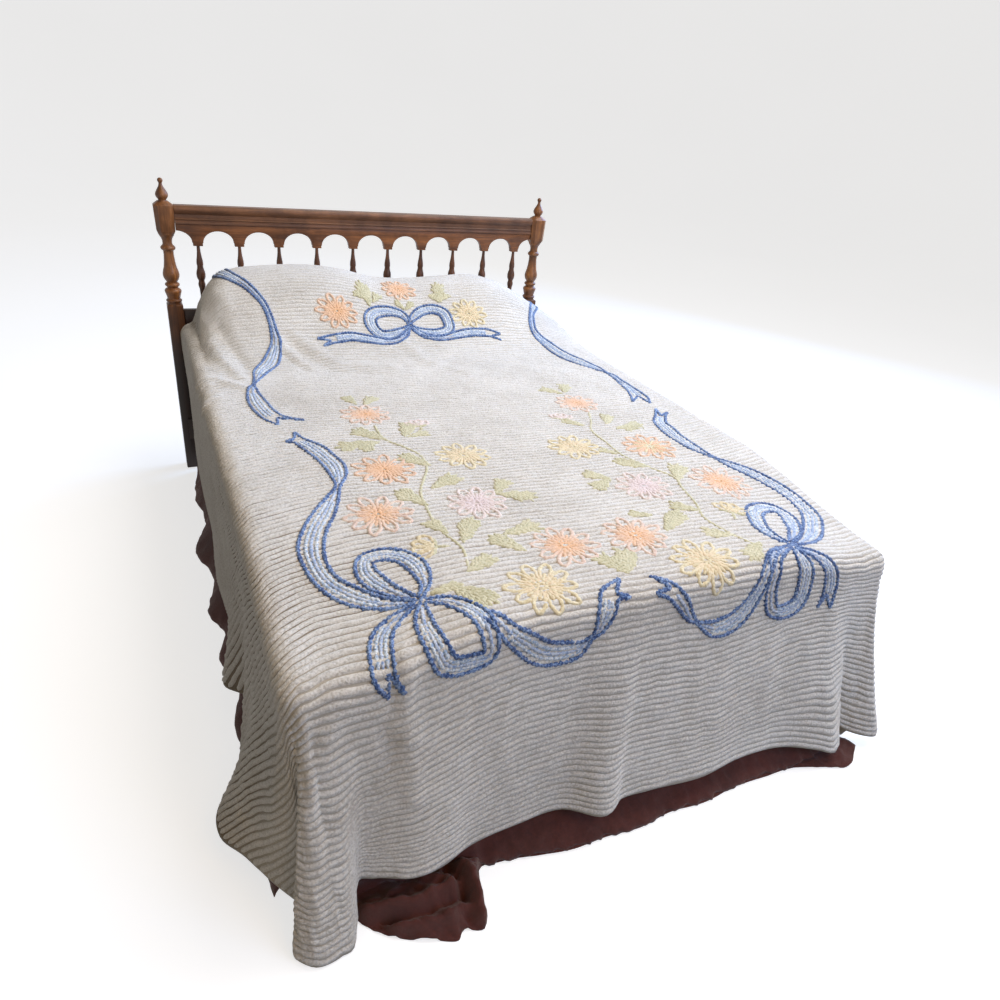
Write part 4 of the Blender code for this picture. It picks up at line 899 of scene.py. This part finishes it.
def makeGarden():
    lines = {name: [] for name in ("orange", "peach", "yellow", "gold", "pink", "sage")}
    rng = np.random.default_rng(garden["petals"])

    def stitch(yarn, *points):
        lines[yarn].append(stitchPath(points, garden["step"]))

    for u, v, radius, outer, inner in garden["flowers"]:
        middle = np.array([u, v])
        turn = rng.uniform(0.0, garden["turnMost"])
        half = radius * math.sin(math.pi / garden["petals"]) * garden["petalHalf"]
        for petal in range(garden["petals"]):
            sway = rng.uniform(-garden["petalSway"], garden["petalSway"])
            angle = turn + petal * 2 * math.pi / garden["petals"] + sway
            reach = radius * rng.uniform(*garden["petalUneven"])
            stitch(outer, *petalLoop(middle, angle, garden["petalFrom"], reach, half))
            near, far = (radius * share for share in garden["stamen"])
            stitch(inner, *(middle + towards(angle) * out for out in (garden["stamenFrom"], near, far)))
        stitch(inner, *(middle + garden["heartRing"] * towards(angle) for angle in np.linspace(0, 2 * math.pi, 9)))
    for u, v, radius, opens, yarn in garden["buds"]:
        middle = np.array([u, v])
        for fan in garden["budFan"]:
            angle = math.radians(opens + fan)
            stitch(yarn, *petalLoop(middle, angle, garden["budFrom"], radius, radius * garden["budHalf"]))
        for fan in garden["sepalFan"]:
            stitch("sage", middle, middle + radius * garden["sepal"] * towards(math.radians(opens + fan)))
    for base, tip in garden["leaves"]:
        base, tip = np.array(base), np.array(tip)
        length = np.linalg.norm(tip - base)
        forward = (tip - base) / length
        across = np.array([-forward[1], forward[0]])
        half = min(max(length * garden["leafHalf"], garden["leafLeast"]), garden["leafMost"])
        stitch("sage", base, (base + tip) / 2, tip)
        strokes = max(int(length / garden["strokeEvery"]), 3)
        for side in (-1, 1):
            for stroke in range(strokes):
                along = (stroke + garden["strokeShift"] * side + garden["strokeFirst"]) / strokes
                swell = math.sin(math.pi * min(along * garden["leafSwell"][0] + garden["leafSwell"][1], 1.0))
                wide = half * swell * rng.uniform(*garden["strokeUneven"])
                start = base + forward * length * along * garden["strokesTo"]
                ahead = forward * (wide * garden["strokeLean"] + garden["strokeMore"])
                end = start + ahead + across * side * wide
                stitch("sage", start, (start + end) / 2 + forward * garden["strokeBow"], end)
    for stem in garden["stems"]:
        stitch("sage", *((*spot, garden["stemSize"]) for spot in stem))
    made = [tuftLines(name + "Tufts", lines[name], garden["width"], garden["height"], garden["base"], garden["bead"],
                      yarns[name]) for name in lines]
    flowers = np.array([flower[:3] for flower in garden["flowers"]])
    hearts = onCloth(flowers[:, 0], flowers[:, 1])
    for piece in made:  # how far each tuft lies from the middle of its flower
        spots = np.array([vertex.co for vertex in piece.data.vertices])
        away = np.linalg.norm(spots[:, None] - hearts[None], axis=2) / flowers[None, :, 2]
        piece.data.attributes.new("heart", "FLOAT", "POINT").data.foreach_set("value", away.min(axis=1))
    return made


# the skirts

skirt = {
    "thickness": 0.0016, "top": 0.352, "hemZ": 0.004, "flareZ": 0.080, "springHalf": 0.669, "springFoot": 1.928,
    "touch": 0.0018, "out": 0.004, "sideFlat": (1.86, 0.35), "footFlat": (1.36, 0.42),
    "sideRumple": 0.004, "sideNoise": (16.0, 3.0), "sideRumpled": (0.74, 0.9), "footRumple": 0.008,
    "footNoise": (22.0, 8.0), "footRumpled": (0.76, 0.92), "poolRumple": 0.011, "poolHigh": 0.03, "least": 0.0015,
    "pinch": 2.2, "finer": 2.3, "noiseLean": (0.9, 1.3),
    "sideEnds": (0.060, 1.900), "sideSteps": (33, 185), "footSteps": 241, "hangsTo": 0.5, "looseFrom": 0.3,
    "footShares": ((0.0, 0.76, 12), (0.78, 1.0, 14), (1.03, 2.0, 32)),  # to 1 it hangs, and from 1 to 2 it pools
    "side": (  # down, out from the bed's middle
        (.06, .684), (.3, .712), (.48, .696), (.65, .742), (.82, .706), (1, .738), (1.09, .708), (1.19, .732),
        (1.31, .702), (1.45, .728), (1.6, .698), (1.76, .706), (1.85, .722), (1.9, .716),
    ),
    "foot": (  # x, hem down, pool x, pool down, pool height
        (-.655, 1.94, -.658, 1.95, .002), (-.61, 1.955, -.606, 2, .012), (-.575, 1.96, -.57, 2.04, .026),
        (-.53, 1.965, -.522, 2.072, .036), (-.49, 1.967, -.48, 2.09, .04), (-.455, 1.968, -.44, 2.106, .042),
        (-.43, 1.969, -.425, 2.093, .042), (-.4, 1.97, -.385, 2.104, .046), (-.375, 1.975, -.371, 2.066, .052),
        (-.352, 1.979, -.365, 2.016, .036), (-.338, 1.98, -.35, 1.994, .006), (-.3, 1.986, -.3, 1.994, .002),
        (-.22, 2.002, -.22, 2.01, .002), (-.15, 2.016, -.15, 2.024, .002), (-.06, 2.018, -.06, 2.026, .002),
        (.02, 2.026, .02, 2.034, .002), (.11, 2.018, .11, 2.026, .002), (.2, 2.026, .2, 2.034, .002),
        (.3, 2.018, .3, 2.026, .002), (.4, 2.02, .4, 2.03, .002), (.48, 2.024, .488, 2.036, .003),
        (.54, 2.026, .562, 2.062, .01), (.59, 2.016, .63, 2.082, .018), (.64, 1.96, .7, 2.04, .014),
    ),
    "poolFolds": (  # how high, how wide, and where it runs on the floor: (x, down)
        (.02, .01, ((-.392, 1.99), (-.38, 2.035), (-.383, 2.09))),
        (.016, .008, ((-.59, 2), (-.5, 2.03), (-.405, 2.02))),
        (-.018, .009, ((-.575, 2.025), (-.48, 2.05), (-.405, 2.045))),
        (.014, .007, ((-.545, 2.05), (-.46, 2.072), (-.41, 2.066))),
        (-.016, .008, ((-.42, 1.985), (-.405, 2.03), (-.412, 2.08))), (.012, .007, ((-.47, 1.985), (-.43, 2.01))),
    ),
}


def skirtOut(share, hemAway):
    start = 1.0 - (skirt["flareZ"] - skirt["hemZ"]) / (skirt["top"] - skirt["hemZ"])
    return skirt["touch"] + skirt["out"] * share + hemAway * smoothStep(share, start, 1.0)


def rumple(points, scale, seed):  # soft pinched wrinkles
    shift = np.zeros(points.shape[:2])
    lean, fall = skirt["noiseLean"]
    for index in np.ndindex(shift.shape):
        x, y, z = points[index]
        spot = Vector((x * scale + z * scale * lean + seed, y * scale, z * scale * fall))
        ridge, fine = (1.0 - abs(noise.noise(place)) * skirt["pinch"] for place in (spot, spot * skirt["finer"]))
        shift[index] = ridge + 0.5 * fine - 0.75
    return shift


def placeSkirt(points, uv, name, flip):
    mesh = gridMesh("skirt", points, uv, flip=flip)
    piece = placePiece(name + "Skirt", mesh, maroonCloth, ["skirt_" + name])
    thicken(piece, skirt["thickness"])


def makeSkirts():
    for side, name in ((-1.0, "left"), (1.0, "right")):
        steps, downSteps = skirt["sideSteps"]
        share, down = np.meshgrid(np.linspace(0.0, 1.0, steps), np.linspace(*skirt["sideEnds"], downSteps),
                                  indexing="ij")
        away = curveThrough(skirt["side"], 1, down) - skirt["springHalf"]
        z = skirt["top"] + (skirt["hemZ"] - skirt["top"]) * share
        points = np.stack([bedX + side * (skirt["springHalf"] + skirtOut(share, away)), headY - down, z], -1)
        ridges = rumple(points, *skirt["sideNoise"])
        points[..., 0] += side * (ridges * skirt["sideRumple"]) * smoothStep(share, *skirt["sideRumpled"])
        placeSkirt(points, np.stack([down, z], -1), name, side > 0)
    across = np.linspace(skirt["foot"][0][0], skirt["foot"][-1][0], skirt["footSteps"])
    shares = np.concatenate([np.linspace(*part) for part in skirt["footShares"]])
    share, x = np.meshgrid(shares, across, indexing="ij")
    hemDown, poolX, poolDown, height = (curveThrough(skirt["foot"], column, x) for column in (1, 2, 3, 4))
    over = np.maximum(share - 1.0, 0.0)  # 0 down to the hem, then to 1 over the pool
    hemZ = skirt["hemZ"] + height * math.sin(math.pi / 6)
    hung = skirt["springFoot"] + skirtOut(np.minimum(share, 1.0), hemDown - skirt["springFoot"])
    down = np.where(over > 0, hemDown + (poolDown - hemDown) * over, hung)
    z = np.where(over > 0, skirt["hemZ"] + height * np.sin(math.pi * (1 + 5 * over) / 6),
                 skirt["top"] + (hemZ - skirt["top"]) * share)
    points = np.stack([x + (poolX - x) * over, headY - down, z], -1)
    ridges, upright = rumple(points, *skirt["footNoise"]), 1 - smoothStep(over, 0.0, skirt["hangsTo"])
    points[..., 1] -= ridges * skirt["footRumple"] * smoothStep(share, *skirt["footRumpled"]) * upright
    for swell, width, line in skirt["poolFolds"]:
        points[..., 2] += swell * ridgeAlong(points[..., 0], headY - points[..., 1], width, line) * (over > 0.0)
    loose = smoothStep(over, 0.0, skirt["looseFrom"]) * np.minimum(height / skirt["poolHigh"], 1.0)
    points[..., 2] = np.maximum(points[..., 2] + ridges * skirt["poolRumple"] * loose, skirt["least"])
    placeSkirt(points, np.stack([x, share * skirt["sideFlat"][1]], -1), "foot", True)


# mattress, box spring and pillows

bedding = {
    "mattressHalf": 0.674, "mattressDown": (0.045, 1.932), "mattressTop": 0.5959, "mattressThick": 0.22,
    "mattressRound": 0.05, "mattressSag": 1.15, "headSag": (0.060, 0.44, 0.60, 0.10, 0.46), "springHalf": 0.669,
    "springDown": (0.050, 1.928), "springThick": 0.19, "springRound": 0.010, "touch": 0.0003,
    "dimple": 0.0008, "dimpleEvery": 0.16, "flatWithin": 0.0002, "pipeEvery": 0.08, "pipeSteps": 7,
    "mattressPipe": (0.011, 0.040, 0.0165, 0.004),  # inset, corner, distance from the face, radius
    "springPipe": (0.002, 0.010, 0.012, 0.0032),
    "pillows": (("left", -0.325, 0.305, 0.235, 0.200), ("right", 0.325, 0.295, 0.235, 0.165)),
    "pillowDown": 0.305, "pillowClear": 0.006, "pillowLift": 0.0006, "pillowCuts": 31, "pinch": 0.90, "pull": 0.05,
    "pinchPower": 5, "wrinkle": 0.008, "wrinkleScale": (14, 22, 2), "calm": 0.4, "flatUnder": 0.05,
}


def bevelEdges(made, edges, offset, segments):
    bmesh.ops.bevel(made, geom=edges, offset=offset, offset_type="OFFSET", segments=segments, profile=0.5,
                    affect="EDGES", material=-1, clamp_overlap=True)


def addBlock(made, low, high, bevel, segments=3):
    cube = bmesh.ops.create_cube(made, size=1.0)["verts"]
    bmesh.ops.scale(made, verts=cube, vec=Vector(high) - Vector(low))
    bmesh.ops.translate(made, verts=cube, vec=(Vector(low) + Vector(high)) / 2)
    bevelEdges(made, list(dict.fromkeys(edge for vert in cube for edge in vert.link_edges)), bevel, segments)


def blockOnBed(half, downs, bottom, top, radius, segments, cuts):
    low, high = (bedX - half, headY - downs[1], bottom), (bedX + half, headY - downs[0], top)
    made = bmesh.new()
    addBlock(made, low, high, radius, segments)
    for axis, normal in enumerate(((1, 0, 0), (0, 1, 0))):
        for place in np.linspace(low[axis] + radius, high[axis] - radius, cuts[axis] + 2)[1:-1]:
            bmesh.ops.bisect_plane(made, geom=list(made.verts) + list(made.edges) + list(made.faces),
                                   plane_co=np.array(normal) * place, plane_no=normal)
    return made


def pipeMesh(name, points, radius):
    curve = bpy.data.curves.new(name, "CURVE")
    curve.dimensions = "3D"
    curve.bevel_depth = radius
    curve.bevel_resolution = 2
    line = curve.splines.new("POLY")
    line.points.add(len(points) - 1)
    for point, spot in zip(line.points, points):
        point.co = (*spot, 1.0)
    line.use_cyclic_u = True
    holder = bpy.data.objects.new(name, curve)
    mesh = bpy.data.meshes.new_from_object(holder)
    bpy.data.objects.remove(holder)
    mesh.name = name
    mesh.shade_smooth()
    return mesh


def sinkOfPad(x, y, sag):
    return sag * float(sinkOfCorner(np.array(x), np.array(headY - y))) + \
        float(sinkAtHead(x, headY - y, bedding["headSag"]))


def addPipings(name, half, downs, top, bottom, sizes, sag=0.0):
    inset, corner, fromFace, radius = sizes
    half, lowY, highY = half - inset, headY - downs[1] + inset, headY - downs[0] - inset
    points = []
    for middleX, middleY, start in ((half - corner, highY - corner, 0), (corner - half, highY - corner, 90),
                                    (corner - half, lowY + corner, 180), (half - corner, lowY + corner, 270)):
        for angle in np.radians(np.linspace(start, start + 90, bedding["pipeSteps"])):
            points.append((bedX + middleX + corner * math.cos(angle), middleY + corner * math.sin(angle)))
    pieces = []
    for face, z, sunk in (("Top", top - fromFace, sag), ("Bottom", bottom + fromFace, 0.0)):
        loop = []
        for (x0, y0), (x1, y1) in zip(points, points[1:] + points[:1]):
            parts = max(int(math.dist((x0, y0), (x1, y1)) / bedding["pipeEvery"]), 1)
            for part in range(parts):
                x, y = x0 + (x1 - x0) * part / parts, y0 + (y1 - y0) * part / parts
                loop.append((x, y, z - (sinkOfPad(x, y, sunk) if sunk else 0.0)))
        pipe = pipeMesh(name + face + "Piping", loop, radius)
        pieces.append(placePiece(pipe.name, pipe, pillowCotton))
    return pieces


def makeMattress():
    half, downs, top, sag = (bedding["mattress" + key] for key in ("Half", "Down", "Top", "Sag"))
    bottom = top - bedding["mattressThick"]
    made = blockOnBed(half, downs, bottom, top, bedding["mattressRound"], 6, (30, 42))
    middle, turns = (top + bottom) / 2, 2 * math.pi / bedding["dimpleEvery"]
    for vert in made.verts:
        x, y, z = vert.co
        if z > middle:
            vert.co.z -= sinkOfPad(x, y, sag)
        if min(abs(z - top), abs(z - bottom)) < bedding["flatWithin"]:
            dimple = bedding["dimple"] * (1 - math.cos(x * turns) * math.cos(y * turns))
            vert.co.z -= math.copysign(dimple, z - middle)
    mattress = placePiece("mattressPad", meshFrom(made, "mattress", 40), ticking, ["mattress"])
    return [mattress] + addPipings("mattress", half, downs, top, bottom, bedding["mattressPipe"], sag)


def makeBoxSpring():
    half, downs = bedding["springHalf"], bedding["springDown"]
    top = bedding["mattressTop"] - bedding["mattressThick"] - bedding["touch"]
    bottom = top - bedding["springThick"]
    made = blockOnBed(half, downs, bottom, top, bedding["springRound"], 4, (10, 14))
    spring = placePiece("boxSpringPad", meshFrom(made, "boxSpring", 40), ticking, ["box_spring"])
    return [spring] + addPipings("boxSpring", half, downs, top, bottom, bedding["springPipe"])


def makePillow(name, x, halfX, halfY, height):
    made = bmesh.new()
    bmesh.ops.create_cube(made, size=2.0)
    bmesh.ops.subdivide_edges(made, edges=list(made.edges), cuts=bedding["pillowCuts"], use_grid_fill=True)
    base = bedding["mattressTop"] + bedding["pillowLift"]
    for vert in made.verts:
        across, deep, up = vert.co
        pinch = math.prod(1.0 - bedding["pinch"] * abs(way) ** bedding["pinchPower"] for way in (across, deep))
        pull = 1.0 - bedding["pull"] * (across * across + deep * deep)
        atX = x + across * halfX * pull
        down = bedding["pillowDown"] - deep * halfY * pull
        ceiling = min(height, float(topHeight(np.array(atX), np.array(down))) - bedding["pillowClear"] - base)
        spot = Vector([part * scale for part, scale in zip((atX, down, up), bedding["wrinkleScale"])])
        wrinkle = noise.noise(spot) * bedding["wrinkle"] * (1 - abs(up) * bedding["calm"])
        share = (up + 1.0) / 2.0 * pinch
        rise = ceiling * share + wrinkle * pinch * (share > bedding["flatUnder"]) - bedding["pillowClear"] * share
        vert.co = (atX, headY - down, base + max(rise, 0.0))
    pillow = placePiece(name + "Pillow", meshFrom(made, "pillow"), pillowCotton, ["pillow_" + name])
    pillow.data.shade_smooth()
    return pillow


def uvFromObject(mesh):  # pads have no cut pattern, so their weave runs along X and along Y and Z
    if "cloth" in mesh.uv_layers:
        return
    layer = mesh.uv_layers.new(name="cloth")
    for loop in mesh.loops:
        x, y, z = mesh.vertices[loop.vertex_index].co
        layer.data[loop.index].uv = (x + z * 0.2, y + z)


# the headboard

headboard = {
    "postX": 0.710, "legHalf": 0.026, "legTop": 0.637, "blockHalf": 0.031, "turnSteps": 48, "spindleSteps": 28,
    "block": (  # z, then the wide and the narrow share of its half width
        (.876, .8, .45), (.884, .93, .52), (.96, 1, .6), (.9645, 1, .6), (.9665, .95, .57), (.9775, .52, .3),
    ),
    "turning": (  # z, radius, from the finial down
        (1.048, 0), (1.047, .0052), (1.042, .0088), (1.036, .0078), (1.032, .0048), (1.022, .007), (1.008, .016),
        (.997, .0205), (.988, .018), (.9815, .0118), (.974, .015), (.96, .015), (.96, 0),
    ),
    "shaft": (
        (.88, 0), (.88, .025), (.877, .0262), (.8735, .0262), (.8715, .0245), (.869, .024), (.857, .016),
        (.839, .015), (.8345, .0205), (.828, .0248), (.8215, .0215), (.818, .015), (.769, .0192), (.748, .0258),
        (.736, .0272), (.724, .024), (.715, .0178), (.712, .017), (.709, .0225), (.7042, .0245), (.6995, .0222),
        (.6965, .0176), (.693, .0182), (.6885, .0255), (.6828, .0278), (.677, .0262), (.66, .0212), (.6545, .0212),
        (.6525, .0255), (.649, .0264), (.6455, .025), (.643, .022), (.638, .0235), (.63, .024), (.63, 0),
    ),
    "spindles": 10, "pitch": 0.1363,
    "spindle": (
        (.8357, 0), (.8357, .0054), (.81, .0064), (.778, .012), (.764, .0092), (.744, .0155), (.727, .0145),
        (.717, .0088), (.704, .013), (.685, .008), (.6173, .0085), (.6173, 0),
    ),
    "apronZ": (0.836, 0.9057), "apronThick": 0.022, "archTop": 0.886, "pendantHalf": 0.0155, "archSteps": 26,
    "archFrom": 0.010, "archInset": 0.002,
    "rail": (  # half depth, z: one side of the moulded rail
        (.013, .906), (.0165, .908), (.017, .9115), (.016, .915), (.013, .916), (.0126, .9195), (.014, .9205),
        (.0152, .923), (.014, .9255), (.0126, .9265), (.0126, .9385), (.0148, .9405), (.0165, .944), (.0195, .948),
        (.021, .955), (.0205, .9595), (.019, .9635), (.0155, .967),
    ),
    "boardZ": (0.450, 0.617), "boardHalf": 0.012, "touch": 0.0003, "legBevel": 0.0035, "boardBevel": 0.003,
    "apronBevel": 0.0012, "weld": 0.00003,
}


def placeWood(name, made, smoothAngle, wood, node):
    placePiece(name, meshFrom(made, name, smoothAngle), wood, [node])


def softened(profile):  # rounds off a profile's corners, and keeps its two ends
    cut = [profile[0], profile[1]] if profile[0][1] == 0 and profile[0][0] == profile[1][0] else [profile[0]]
    for (z0, r0), (z1, r1) in zip(profile[len(cut) - 1:], profile[len(cut):-1]):
        cut.append((z0 * 0.75 + z1 * 0.25, r0 * 0.75 + r1 * 0.25))
        cut.append((z0 * 0.25 + z1 * 0.75, r0 * 0.25 + r1 * 0.75))
    return cut + [profile[-2], profile[-1]]


def closeShell(made):
    bmesh.ops.remove_doubles(made, verts=made.verts, dist=headboard["weld"])
    bmesh.ops.recalc_face_normals(made, faces=made.faces)


def addPostBlock(made, x):  # an eight-sided block with a hipped top, lofted up its rings
    rings = []
    for z, wide, narrow in headboard["block"]:
        a, b = headboard["blockHalf"] * wide, headboard["blockHalf"] * narrow
        corners = ((a, b), (b, a), (-b, a), (-a, b), (-a, -b), (-b, -a), (b, -a), (a, -b))
        rings.append([made.verts.new((x + dx, headY + dy, z)) for dx, dy in corners])
    edges = [[made.edges.new((ring[i], ring[(i + 1) % 8])) for i in range(8)] for ring in rings]
    for lower, upper in zip(edges, edges[1:]):
        bmesh.ops.bridge_loops(made, edges=lower + upper)
    for ring in (edges[0], edges[-1]):
        bmesh.ops.contextual_create(made, geom=ring)


def makePosts():
    half = headboard["legHalf"]
    for side, name in ((-1, "left"), (1, "right")):
        x = side * headboard["postX"]
        made = bmesh.new()
        for key in ("turning", "shaft"):
            spinRound(made, softened(headboard[key]), x, headY, headboard["turnSteps"])
        addPostBlock(made, x)
        addBlock(made, (x - half, headY - half, 0.0), (x + half, headY + half, headboard["legTop"]),
                 headboard["legBevel"])
        closeShell(made)
        placeWood(name + "Post", made, 32, uprightWalnut, "headboard_post_" + name)


def makeSpindles():
    profile = softened(headboard["spindle"])
    for number in range(headboard["spindles"]):
        x = (number - (headboard["spindles"] - 1) / 2) * headboard["pitch"]
        made = bmesh.new()
        spinRound(made, profile, x, headY, headboard["spindleSteps"])
        closeShell(made)
        name = str(number + 1).zfill(2)
        placeWood("turnedSpindle" + name, made, 40, spindleWalnut, "spindle_" + name)


def pushOut(outline, way):  # a flat outline as a solid
    made = bmesh.new()
    face = made.faces.new([made.verts.new(spot) for spot in outline])
    grown = bmesh.ops.extrude_face_region(made, geom=[face])["geom"]
    bmesh.ops.translate(made, verts=[part for part in grown if isinstance(part, bmesh.types.BMVert)], vec=way)
    bmesh.ops.recalc_face_normals(made, faces=made.faces)
    return made


def makeApron():
    end = headboard["postX"] - headboard["blockHalf"] - headboard["touch"]
    low, high = headboard["apronZ"]
    thick, steps, spindles = headboard["apronThick"], headboard["archSteps"], headboard["spindles"]
    half, spring = headboard["pitch"] / 2 - headboard["pendantHalf"], low + headboard["archFrom"]
    outline = [(end, high), (-end, high)]
    for number in range(spindles + 1):
        centre = (number - spindles / 2) * headboard["pitch"]
        arch = [(centre - half, low), (centre - half, spring)]
        for step in range(steps + 1):
            angle = math.pi * (1.0 - step / steps)
            arch.append((centre + (half - headboard["archInset"]) * math.cos(angle),
                         spring + (headboard["archTop"] - spring) * math.sin(angle)))
        arch += [(centre + half, spring), (centre + half, low)]
        inside = [(x, z) for x, z in arch if abs(x) < end]
        if number == 0:
            inside.insert(0, (-end, inside[0][1]))
        if number == spindles:
            inside.append((end, inside[-1][1]))
        outline += inside
    made = pushOut([(x, headY - thick / 2, z) for x, z in outline], (0, thick, 0))
    rims = [edge for edge in made.edges if abs(edge.verts[0].co.y - edge.verts[1].co.y) < 1e-6]
    bevelEdges(made, rims, headboard["apronBevel"], 2)
    placeWood("archedApron", made, 35, warmWalnut, "headboard_apron")


def makeTopRail():
    end = headboard["postX"] - headboard["blockHalf"] - headboard["touch"]
    section = [(-depth, z) for depth, z in headboard["rail"]] + list(headboard["rail"][::-1])
    made = pushOut([(-end, headY + depth, z) for depth, z in section], (2 * end, 0, 0))
    placeWood("mouldedRail", made, 28, railWalnut, "headboard_top_rail")


def makeBoard():
    end, half = headboard["postX"] - headboard["legHalf"] - headboard["touch"], headboard["boardHalf"]
    low, high = headboard["boardZ"]
    made = bmesh.new()
    addBlock(made, (-end, headY - half, low), (end, headY + half, high), headboard["boardBevel"])
    placeWood("lowerBoard", made, 40, shadedWalnut, "headboard_board")


# building it

aimCamera()
lightStudio()
layFloor(paleFloor)
print("making the headboard")
makePosts()
makeSpindles()
makeApron()
makeTopRail()
makeBoard()
print("making the bed")
for piece in makeMattress() + makeBoxSpring() + [makePillow(*sizes) for sizes in bedding["pillows"]]:
    uvFromObject(piece.data)
makeSkirts()
for name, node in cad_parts.items():
    if name.startswith("frame_"):
        for holder in node.material_slots:
            holder.material = brownSteel
print("making the spread")
spreadCloth = makeSpreadCloth()
onSpread = [makeSpreadHem()] + makeChenilleRows()
print("making the motifs")
onSpread += makeRibbons() + makeGarden()
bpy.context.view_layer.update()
pieces = [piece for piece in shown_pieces() if piece.type == "MESH"]
print("triangles", sum(len(face.vertices) - 2 for piece in pieces for face in piece.data.polygons))
